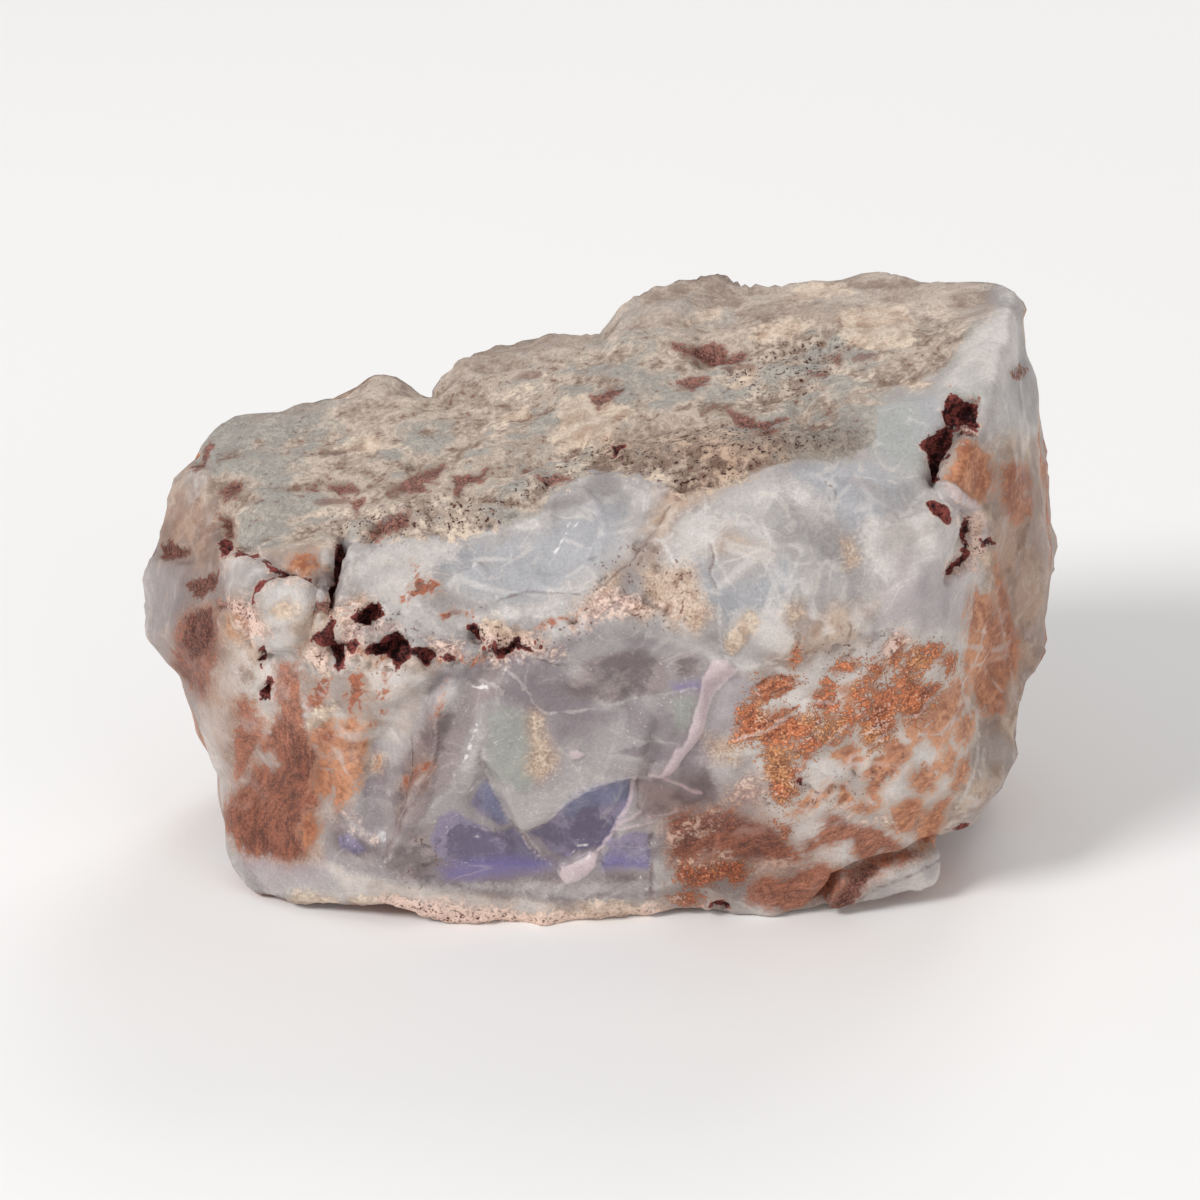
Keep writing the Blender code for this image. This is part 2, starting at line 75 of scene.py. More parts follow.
# What the photo shows on the stone, in the photo's own pixels. Each layer of colour has its marks:
# areas by their corners, and lines by their half width and the points that they pass
# Dusky facets are the opal's own darker tone, but those by the knobs and along the fold are painted shade.
# Painted shade: the darkening layer's marks darken the two ends, the lower left, the fold, a band along the
# skin's front edge, the face right of the pink ridge and the undercut above the flake.
# Pale marks are the opal's own milky white, but those on the flake, along the low rim and beside the right
# crevice are partly painted light, lifting places that the overhang, the floor and the hollow shade.
# The stain along the flake's cut is a painted shadow under the flake's overhang.
AREAS = """
skin:
  top 190,440 205,455 214,500 222,548 240,553 262,548 290,546 320,545 345,540 356,536 366,546 385,540
    410,536 440,541 475,532 507,529 540,510 565,492 590,478 612,475 640,478 665,482 682,497 700,490 720,487
    747,480 767,470 793,463 820,460 850,458 868,448 872,420 884,402 905,390 920,383 945,377 960,350 975,318
    995,296 1000,262 880,250 600,262 440,340 200,400
pit:
  left_slit 223,540 232,542 235,550 227,555 222,557 221,548
  cluster_e 467,628 472,622 480,626 486,634 488,642 481,643 476,637 470,632
  cluster_f 484,649 492,645 500,649 512,645 517,636 521,635 523,641 532,645 534,649 526,650 518,650 510,653
    500,657 490,652
  right_spot_low 980,539 992,539 994,545 983,546
  rim_pit 707,904 717,897 727,900 733,905 722,909
  edge_notch 950,834 967,822 969,825 954,837
  top_hole 613,449 619,446 626,448 623,453 615,454
  right_crevice 950,390 959,401 969,402 980,410 975,418 978,431 969,427 959,418 958,426 950,431 952,447
    948,463 939,468 944,485 935,487 929,480 923,476 927,463 921,447 928,435 935,433 944,424 942,412 948,405
  right_spot 926,505 932,501 941,506 947,513 949,521 940,521 932,515
  right_chain 965,517 970,515 969,528 965,534 967,546 968,557 962,565 954,569 948,577 945,573 952,563
    960,555 962,546 961,534 961,524
  right_side 977,539 988,537 995,544 986,547 980,546
  column_spot 796,776 801,776 803,784 798,785
  left_crevice 336,541 342,542 345,553 344,566 341,580 338,592 333,602 329,608 324,604 327,594 331,584
    332,568 333,552
  hook 331,620 335,622 334,630 336,639 328,637 322,639 314,638 314,633 322,630 330,627
  cluster_b 326,640 336,639 346,642 349,654 347,663 342,668 337,664 333,652
  cluster_a 352,621 358,611 366,606 374,602 380,601 384,610 388,618 380,622 373,622 367,629 358,626
  cluster_ab 350,643 356,640 361,642 356,649 351,648
  cluster_c 365,650 370,643 380,640 387,634 396,628 402,632 404,640 407,646 413,648 420,645 430,650 438,654
    432,659 430,666 422,664 418,656 410,655 404,662 398,668 394,660 388,656 376,654 368,652
  cluster_d 440,657 448,654 455,657 452,664 446,660
  dot_a 541,630 545,631 544,635 540,634
  dot_b 541,640 545,641 544,644 541,644
  dot_c 535,635 538,636 537,639
  oval_high 259,654 262,645 268,640 268,652 263,665 259,666
  oval_low 262,691 266,679 272,676 276,681 274,691 268,699 263,698
stain:
  hollow_foot 308,607 327,601 337,598 332,613 320,617 312,615
  seam 217,600 237,604 253,610 260,622 253,625 237,610 220,610
  slit_top 223,517 235,522 237,537 230,540 225,530
  left_notch 192,472 203,457 212,447 211,460 202,472
  left_low_notch 164,543 177,545 189,552 177,556 164,560
  left_pink 185,582 203,579 218,572 218,584 203,597 193,595
  skin_a 222,492 232,486 247,483 240,497 227,501
  skin_b 393,491 417,477 445,466 440,477 423,487 430,495 407,494
  skin_c 330,487 353,488 357,492 340,496
  skin_d 353,507 362,503 360,513 357,519
  skin_e 453,480 480,477 488,470 483,483 462,488 457,496
  skin_f 538,479 557,477 573,481 553,484
  skin_g 370,532 393,519 411,513 407,523 387,532 373,540
  skin_h 307,490 318,486 317,493
  top_a 670,345 693,350 720,347 727,359 747,355 740,365 710,367 690,357
  top_b 677,386 693,382 707,382 693,391
  top_c 593,399 613,389 628,389 610,402 597,409
  top_d 727,411 747,419 767,428 784,422 768,434 740,430
  top_e 833,358 843,360 841,366
  top_f 810,374 827,377 823,379
  right_end 1010,367 1020,369 1019,379 1011,379
  violet_end 947,412 977,400 978,423 973,438 960,430
  rust_top 879,648 889,638 900,638 893,650 883,654
  left_notch_b 160,550 170,538 176,546 190,550 182,557 166,556
  left_end_core 188,618 200,610 212,610 214,636 210,652 196,656 188,640
  crevice_foot 310,618 316,606 326,598 334,594 333,606 331,618 320,615
  flake_cut 832,908 842,892 852,878 866,868 880,864 876,872 864,882 854,894 846,906
rust:
  crest_a 880,656 882,646 890,639 903,636 906,648 902,662 894,668 884,664
  crest_b 907,654 912,646 922,644 935,642 942,650 954,656 955,668 948,677 942,668 934,662 924,668 916,676
    924,682 938,682 943,690 934,700 924,712 912,720 902,716 898,704 896,690 888,682 896,672 904,664
  crest_c 864,668 872,660 886,662 887,672 876,678 866,682 864,690 858,700 850,694 850,682 858,676
  crest_mid 855,692 866,684 884,680 900,684 900,698 894,712 894,724 890,738 880,744 870,748 864,738 862,722
    856,708
  band 786,748 792,740 804,734 816,726 828,718 840,708 852,700 860,708 858,716 848,722 840,734 834,742
    822,744 812,752 806,764 798,758
  net 731,742 733,730 738,716 742,706 754,699 762,707 772,711 784,704 796,704 800,712 814,711 826,716
    812,727 800,735 792,742 778,745 766,746 758,740 744,742
  net_high 757,684 764,676 780,673 800,676 806,680 794,685 784,692 770,696 762,704 750,703 748,697 756,690
  patch 807,702 814,688 822,680 834,680 834,690 843,700 838,708 824,713 810,711
  wedge 829,669 838,660 848,655 859,658 860,665 846,668
  column 760,748 776,742 788,750 796,760 798,772 800,784 796,796 788,804 776,800 770,790 768,776 764,764
  low_edge 776,818 788,822 788,838 780,832
  low_speckled 700,858 740,856 748,868 745,882 720,880 690,884 672,872 676,858
  lowest_left 672,896 690,890 706,896 700,906 680,906
  drip 790,660 792,650 798,644 800,652 796,660
brown:
  left_end 176,644 182,620 190,610 206,606 218,608 220,640 218,668 212,690 202,700 190,686 176,668
  low_band 828,806 842,811 856,821 880,827 898,839 904,851 880,853 862,858 852,853 850,841 836,843 818,847
    806,854 800,846 806,838 816,836 820,826 823,814
  big_low 668,816 690,808 704,812 720,808 740,812 762,820 778,826 786,838 792,848 801,853 799,861 784,863
    766,862 740,859 700,858 668,862
  lens 746,904 748,884 762,874 780,878 800,865 824,861 844,867 840,886 831,901 818,909 800,910 778,910
    760,906
  left_end_low 238,700 250,694 262,714 268,730 256,754 240,782 234,756
  left_strip 281,668 296,662 305,671 304,690 308,708 308,724 298,734 284,738 273,728 281,712 288,698 284,684
  left 300,714 308,722 312,734 320,744 324,756 326,772 320,780 321,800 318,820 318,842 308,852 302,862
    288,862 270,856 250,856 240,846 229,828 224,812 232,797 244,782 250,768 262,764 272,770 280,764 274,752
    258,750 264,738 272,722 284,716
  mid_streaks 340,766 350,772 356,784 349,800 341,810 336,796
  behind 955,470 966,452 980,455 988,470 984,492 972,500 962,492
  dome_low 893,824 896,808 906,800 918,800 930,812 938,804 946,800 942,822 932,840 922,842 912,832 904,829
  fold_spot 408,784 414,772 424,762 430,766 424,778 414,788
  hollow 290,570 297,560 310,556 318,564 308,574 297,574
  left_line 238,792 246,776 256,764 262,768 252,780 244,792
  above_flake 818,910 830,897 841,880 850,867 864,860 884,855 904,851 922,849 918,857 897,864 882,871
    870,880 858,890 848,902 838,912
  strip 276,664 298,660 306,690 304,716 284,716 276,690
ochre:
  middle 647,571 688,571 709,612 697,629 676,626 659,606 647,594
  middle_edge 580,610 600,593 617,576 611,593 594,610 580,614
  middle_low 626,601 641,607 654,610 640,617
  facet_a 370,757 381,757 380,767 370,767
  left_yellow 340,618 353,600 370,604 353,623
  cream_patch 706,738 727,738 739,746 735,758 714,754
  right_hand 788,606 800,606 800,618 791,621
  right_spot 843,544 851,543 856,560 847,565
  left_orange 226,616 252,616 252,632 240,640 228,632
  vein 528,722 536,710 541,730 546,744 556,760 550,770 538,778 530,768 533,748
cream:
  block_top 269,611 283,596 290,606 299,614 280,615
  rim_b 308,653 320,643 331,654 332,671 320,667
  patch 307,714 327,701 341,701 327,717 313,727 308,721
  low_rim 297,887 340,899 373,893 393,890 427,900 473,907 540,911 600,904 623,899 623,940 273,927 280,900
  low_rim_right 580,900 613,900 647,904 680,909 740,913 740,927 580,933
  flake 727,637 740,613 754,613 757,623 747,637 733,654 723,651
  notch_rim 473,625 493,620 517,628 540,637 533,647 493,647
  skin_a 750,336 773,324 807,327 793,339 760,343
  skin_b 837,336 860,325 901,305 914,329 910,343 880,356 853,346
  skin_c 787,303 800,290 834,285 854,295 820,303
  skin_d 560,402 601,395 634,415 600,433 560,456
  skin_e 687,323 720,305 723,319 700,325
  skin_f 727,390 753,375 760,379 740,394
  skin_g 901,386 917,381 931,385 913,390
  skin_h 553,443 583,423 620,417 620,440 583,448
  skin_i 340,450 373,437 403,447 373,457
  skin_j 493,420 527,410 533,420 507,427
  crystal 729,644 741,624 749,619 747,632 735,649
  knob 268,613 276,604 282,601 284,606 290,595 294,604 301,613 290,615
  chain_side 970,514 978,510 982,524 978,536 986,548 992,562 988,572 982,562 974,552 969,540 971,526
  vein 533,716 538,722 542,738 548,752 546,762 538,758 536,740 532,730
  top_a 835,320 870,308 905,312 918,330 900,344 870,347 850,337
  top_b 752,330 790,319 814,326 800,336 770,341
clear:
  middle 440,672 462,668 480,655 515,658 545,652 573,634 600,628 634,636 668,642 700,655 730,672 752,682
    768,676 760,700 745,712 738,735 722,745 728,765 748,790 762,800 745,825 715,815 690,812 664,842 652,860
    655,890 640,897 560,900 500,892 440,888 392,880 353,873 328,858 330,840 347,800 352,770 366,745 380,735
    400,745 412,730 425,700
  left_rim 246,848 262,856 300,864 330,870 345,890 290,892 258,880
violet:
  band 440,868 466,861 500,857 542,859 556,863 548,870 520,875 496,877 470,880 446,878
  band_right 606,856 648,852 648,863 602,866
  up 672,684 686,682 700,681 701,686 686,688 674,689
green:
  skin_teal 647,429 677,421 677,425 653,431
  plate_left 488,715 505,706 527,715 533,746 530,784 518,796 499,784 489,752
  right_top 862,400 920,400 920,471 882,459 859,447
  plate_far 672,702 690,698 697,704 690,722 678,730
  corner 905,300 940,288 975,310 992,352 985,398 950,398 920,350
blue:
  ledge 438,560 480,545 540,540 575,520 600,508 622,512 618,540 600,560 570,580 540,598 505,602 470,588
  upper_right 786,472 830,466 868,466 905,490 902,508 850,515 815,494
  right_middle 700,560 745,555 790,570 780,610 730,618 700,600
  crevice_side 870,420 900,400 935,396 940,415 925,440 905,470 880,462
  far_right 850,488 912,488 920,506 882,518 853,524 841,512
  grey_scar 759,559 788,559 791,582 776,588 759,582
  facet_top 560,808 574,793 592,785 612,781 632,777 631,798 604,802 582,808 566,818
  triangle 484,778 494,789 501,803 508,818 500,822 490,814 482,804 478,790
  left_end 152,572 165,562 184,562 200,574 190,596 176,612 166,636 156,630 150,600
pale:
  ledge_top 380,545 430,542 470,545 430,570 385,580 358,590 352,570
  ledge_edge 352,600 380,600 440,612 500,614 560,604 548,618 500,624 440,640 400,630 360,612
  scar 672,535 700,512 722,520 718,545 690,565 676,560
  cloud_a 786,486 806,492 832,520 815,532 796,515
  cloud_b 862,520 930,520 950,545 940,580 900,590 866,560
  round_scar 722,655 735,610 790,605 792,640 770,664 740,668
  net_a 900,725 925,722 930,745 915,760 900,752
  left_low 245,850 330,862 400,880 470,888 470,905 360,900 270,890
  plate_edge 492,778 518,821 524,831 549,817 564,801 583,788 611,777 599,771 568,782 542,793 524,793 505,781
  oval 439,696 444,684 453,682 459,693 455,707 444,711
  streak 474,728 482,721 485,728 478,749 468,778 462,790 466,765
  rust_white 889,721 910,719 916,738 900,748 889,742
  net_b 785,808 810,804 818,825 802,833 789,827
  milk 788,485 806,491 829,518 824,526 800,512
  scar_left 671,524 691,512 712,509 718,532 709,547 688,541 674,547
  top_right 933,384 958,351 988,322 1012,305 1025,330 1017,359 988,388 954,389
  crystal 721,650 726,632 744,615 756,609 759,618 747,635 729,654
  left_green 380,693 408,684 433,693 421,724 399,746 380,765
  feather 346,810 355,819 377,840 373,845 355,831 348,821
  near_chain 956,513 975,507 982,530 984,551 975,580 954,588 933,572 950,547
  left_knob 223,558 240,554 255,562 259,577 248,590 228,588 222,573
  block 259,588 294,581 309,592 305,612 286,623 267,619 257,604
  ledge_left 348,569 371,554 409,550 430,562 430,600 409,627 386,604 355,596 340,600
  right_of_chain 944,568 956,513 975,507 982,530 985,572 982,613 971,626 950,626 938,613
  oval_ring 251,682 257,664 268,659 279,668 283,684 281,704 274,717 264,717 256,704
  under_red 302,726 312,709 330,707 350,705 364,717 350,723 332,719 318,725
  left_cream 222,634 240,636 246,652 242,690 228,700 220,684
  right_tan 900,590 930,580 960,580 972,600 968,640 952,654 930,640 905,636
  milky_left 380,662 430,668 428,700 420,740 396,764 380,740 372,700
  by_ridge 710,690 722,680 736,682 736,700 728,722 716,742 704,748 702,730 706,710
  under_block 646,816 660,818 690,810 686,822 668,832 648,832
  left_pink 200,706 232,704 234,738 226,768 214,752 202,736
  knob_a 236,562 246,556 262,564 268,578 258,592 242,594 234,580
  tip 502,802 522,792 552,800 546,819 522,831 509,818
  right_up 925,560 975,556 986,600 978,645 940,640 920,600
  flake 850,890 880,872 920,862 945,852 944,876 930,892 900,904 862,908
  low_cloud 462,882 500,884 520,880 560,884 600,880 640,876 650,880 640,894 600,892 560,896 500,890 470,890
  rust_ground 727,683 793,667 827,654 877,638 935,638 960,667 977,738 952,800 927,850 877,850 810,867
    756,867 743,833 718,800 710,767
  above_rust 860,590 930,580 962,590 966,640 930,650 880,640
  flake_top 845,872 900,866 950,878 944,905 880,915 850,905
  low_rim 380,887 442,889 536,904 599,905 661,901 720,902 720,925 380,925
lavender:
  strip 880,587 920,584 917,607 890,627 873,637 867,633 890,610
  low_left 247,853 287,862 327,860 327,880 280,880 250,870
  beside_ridge 739,674 752,679 739,708 727,738 710,758 685,775 679,767 698,746 710,721 716,696
  chain_top 945,493 958,499 967,508 956,513 946,506
  right_up 900,560 940,556 966,580 960,620 920,630 896,600
pink:
  chip 558,872 570,864 582,858 592,852 600,850 598,861 588,871 577,879 565,880
  plate_patch 568,752 576,748 584,752 580,758 572,758
  ridge 713,661 725,660 738,667 732,675 717,690 709,705 705,720 700,735 691,746 683,753 675,768 668,773
    660,776 668,763 676,750 688,737 694,721 698,704 700,689 704,675
pores:
  row 318,608 350,598 392,604 420,622 455,640 480,622 520,628 545,630 575,606 596,600 596,630 560,645
    520,662 450,668 400,678 350,672 322,650
  skin_band 627,449 643,442 720,425 793,427 847,428 847,449 793,459 767,462 740,483 707,492 677,497 670,495
    647,482 593,475 560,475 560,462 600,452
  skin_top 720,375 767,349 813,335 853,349 833,382 793,405 747,405
  skin_left 370,547 393,520 417,513 460,513 507,490 573,457 620,430 620,470 580,483 533,500 467,527 433,537
    403,533
  right_rim 793,637 840,633 853,627 900,627 907,643 880,657 813,660 793,650
  low_right 753,780 813,773 907,747 880,800 833,803 767,810
  middle 590,560 640,540 690,560 700,600 690,630 640,632 600,620
  low_speckled 396,862 418,830 440,835 450,852 440,870 428,886 404,890
  front_edge 330,520 380,512 430,500 480,500 520,516 500,530 440,534 380,548 340,545
dusk:
  upper_left 462,688 480,663 500,661 507,690 482,702 474,722 464,744 460,760 452,782 440,790 428,800 412,832
    404,836 420,790 432,752 437,712
  low_left 386,846 404,836 440,812 450,822 440,860 420,880 400,884 386,870
  upper 576,672 584,658 610,650 640,646 664,658 672,678 662,692 632,699 600,701 578,696 562,684
  block 640,778 656,776 672,785 688,796 706,796 714,801 690,808 672,812 656,816 643,816 640,800
  right 676,762 690,750 706,747 724,753 742,760 750,768 748,780 730,786 712,792 696,790 680,780
  fold 434,716 440,730 434,752 426,776 418,800 408,820 400,826 398,806 402,784 408,760 416,738 426,722
  low_band 440,882 480,881 520,878 556,875 580,882 602,869 650,867 650,888 600,896 560,899 520,895 470,893
    440,891
  knob_shade 308,562 328,554 336,580 332,604 316,610 304,594
  left_violet 330,814 345,806 352,820 366,838 384,852 372,862 350,858 334,850
  up_right 672,656 690,652 702,660 700,676 680,678 670,668
  right_of_line 694,752 720,744 752,756 760,778 740,792 706,788 694,772
  fold_side 404,748 422,744 428,770 420,796 406,792
tan:
  left_face 217,615 255,615 267,662 271,715 255,769 236,769 202,715 217,685
  mid_left 302,669 378,669 390,731 371,769 367,792 355,777 332,731
  low 309,846 355,862 386,869 430,846 430,885 371,892 309,888 294,869
  hollow 267,550 305,546 332,577 309,581 278,573
  knobs 223,523 267,535 332,538 328,554 267,550 228,550
  round_middle 793,625 852,608 885,600 827,654 793,671 760,671
  skin_foot 665,497 697,488 724,482 688,506 668,529 653,559 618,582 647,541
  over_middle 706,547 729,538 765,559 741,576 718,576
  right_top 900,355 975,305 988,313 950,363 925,388 892,384
  low_rim 380,884 442,887 536,902 599,902 661,898 720,899 720,925 380,925
  right_end 988,455 1017,447 1042,455 1046,530 1033,613 1017,718 988,718 992,613 983,572 988,513
  dome 885,783 910,750 935,738 970,742 972,800 952,833 918,850 893,833 877,808
  left_end 160,540 164,500 178,474 196,450 216,440 222,500 222,566 210,580 190,572 174,562
  milky_left 360,650 440,664 436,700 430,750 400,780 366,770 362,720
  knobs_left 228,592 262,598 266,640 252,662 232,644
  knobs_right 300,606 330,598 340,622 320,652 300,652 290,630
  right_low_edge 966,700 1000,690 1018,704 1012,750 996,790 975,812 962,790 972,740
  rust_ground 727,683 793,667 827,654 877,638 935,638 960,667 977,738 952,800 927,850 877,850 810,867
    756,867 743,833 718,800 710,767
  right_band 985,440 1036,440 1046,520 1044,600 1030,700 1012,760 988,760 966,700 976,600 990,540 975,500
    952,470
peach:
  over_middle 568,631 580,609 605,590 624,590 642,602 639,618 611,612 586,624
  knob_seam 219,598 255,602 255,615 223,612
  chain 962,513 975,509 983,526 983,547 975,572 950,580 948,568 962,551
  rust_top 877,646 889,631 906,629 914,642 889,654 881,662
  low_edge 661,828 680,821 720,809 720,828 680,840 671,849
  low_rim 380,892 442,898 530,913 599,907 655,901 720,902 720,925 380,925
  above_oval 255,634 264,625 275,630 269,642 256,642
  speckled 310,652 318,641 327,641 333,656 335,669 324,669 316,662
  pits_a 338,608 350,600 362,598 358,610 350,620 338,620
  pits_b 342,622 400,620 402,630 384,636 366,640 352,652 344,640
  pits_c 418,634 440,636 468,640 470,656 456,664 436,662 430,648
  pits_d 474,634 500,628 540,636 560,646 548,656 520,662 496,662 480,650
  middle 610,596 628,590 650,598 676,602 674,612 650,613 630,618 612,612
  net_low 722,800 728,786 740,778 757,774 766,782 768,794 758,806 740,808
  knob_low 226,594 250,598 262,612 266,630 250,640 236,628 228,612
wash:
  cell_a 941,692 952,680 961,676 967,684 965,700 961,712 953,722 946,730 944,742 938,747 930,742 925,730
    928,716 934,704
  cell_b 953,738 957,722 966,716 974,711 971,726 968,739 961,746
  cell_c 950,792 952,778 956,768 962,760 967,753 967,768 962,780 956,788
  cell_d 927,764 934,760 944,764 949,772 938,771
  cell_e 890,824 893,808 904,799 915,796 919,804 913,818 906,829 898,834
  cell_f 921,846 917,836 924,824 930,812 938,802 949,793 945,806 941,822 935,834 929,844
  cell_g 867,788 871,774 880,766 897,761 892,771 882,780 878,792 883,801 874,797
  cell_h 860,724 868,716 880,716 888,722 893,732 882,743 866,742
  cell_i 835,752 846,741 859,748 863,758 854,768 845,763
  cell_j 865,772 872,760 885,755 881,765 873,774
  cell_k 835,801 838,790 843,782 847,792 852,800 843,804
  cell_l 848,806 860,801 879,804 870,810 858,812
  swirl 800,800 815,790 830,780 834,784 824,794 812,806 800,812 790,812 796,806
  between 812,712 838,708 846,700 838,690 850,684 858,690 856,702 842,716 828,722
  under_crest 900,716 914,722 926,712 938,700 944,690 948,684 944,704 932,718 922,730 914,742 906,732
  strip_a 961,662 965,648 968,634 972,618 974,600 977,588 982,602 985,622 985,642 982,660 984,680 988,700
    984,714 978,700 973,686 968,676 962,672
  strip_b 992,556 998,570 1004,592 1009,616 1013,636 1016,656 1012,676 1005,680 1002,660 1001,640 998,620
    996,600 993,580
  behind 947,482 955,466 960,448 966,440 977,448 987,458 990,472 985,490 976,502 966,499 955,490
  end_haze 998,474 1010,462 1024,468 1032,490 1030,512 1018,524 1006,516 1002,496
  left_mid 336,742 344,722 354,717 363,726 367,742 363,756 359,770 353,784 348,798 341,802 338,784 334,766
  hollow 289,568 297,558 312,555 320,565 309,575 296,573
  left_face 228,618 238,614 252,617 250,630 240,636 231,634
  left_mid_b 318,780 318,766 324,757 334,758 337,770 336,784 330,794 322,790
  left_low_a 308,822 314,812 320,824 316,838 308,842
  cell_k2 902,700 914,694 926,696 930,706 922,718 910,722 902,714
  cell_l2 884,742 896,738 908,744 906,758 896,766 884,760
  cell_m2 912,770 924,764 934,772 930,786 918,788 910,780
  cell_n2 942,752 950,748 954,758 948,772 940,770
  ridge_band 972,596 988,596 1002,640 1006,684 1002,712 988,714 974,690 963,664 965,630
  oval_b 316,724 330,716 344,726 344,744 328,754 316,742
dim:
  left_end 148,500 223,500 225,615 241,715 232,769 190,692 148,646
  right_of_ridge 639,777 681,777 760,796 793,838 818,850 818,867 743,900 672,892 664,842 643,817
  left_low 225,769 273,746 332,746 336,819 309,865 252,854 225,815
  skin_front 600,444 688,438 859,432 859,453 806,459 765,471 726,485 688,500 671,497 697,468 644,459 600,468
  fold 434,716 440,730 434,752 426,776 418,800 408,820 400,826 398,806 402,784 408,760 416,738 426,722
  above_flake 822,910 834,894 845,876 860,864 884,858 906,852 900,864 882,873 866,884 852,900 842,912
  right_end 988,463 1042,463 1050,530 1033,655 1017,718 988,718 990,572
haze:
  back 560,262 660,240 760,240 880,240 1010,280 1010,335 900,322 760,325 640,335 520,375 400,402 330,412
    250,430 250,380 340,330 450,310 540,300
deep:
  dark_left 438,814 455,808 468,818 482,824 498,832 512,829 521,834 534,848 546,864 520,868 480,866 450,864
    436,852 430,836
  facet 526,834 546,822 560,806 574,792 592,784 612,780 632,776 632,800 628,812 620,826 610,838 600,847
    580,850 566,858 548,850 540,838
  right_low 602,862 606,850 614,840 624,832 636,829 649,830 650,852 649,866
  triangle 486,776 494,788 501,802 510,822 500,826 488,818 476,810 468,800 476,786
  left_low 336,836 348,832 360,840 368,850 356,856 342,850
  corner_low 606,838 640,832 648,858 612,860
fleck:
  red 309,708 312,699 320,694 326,698 322,706 314,710
  red_b 314,694 318,680 328,671 333,680 330,692 322,697
  ledge 404,601 410,588 417,580 424,578 430,584 440,590 436,595 426,593 418,599 410,601
  mid 349,690 352,676 360,668 366,680 364,697 356,704 350,700
  oval 323,737 325,728 330,724 336,729 336,738 330,741
"""
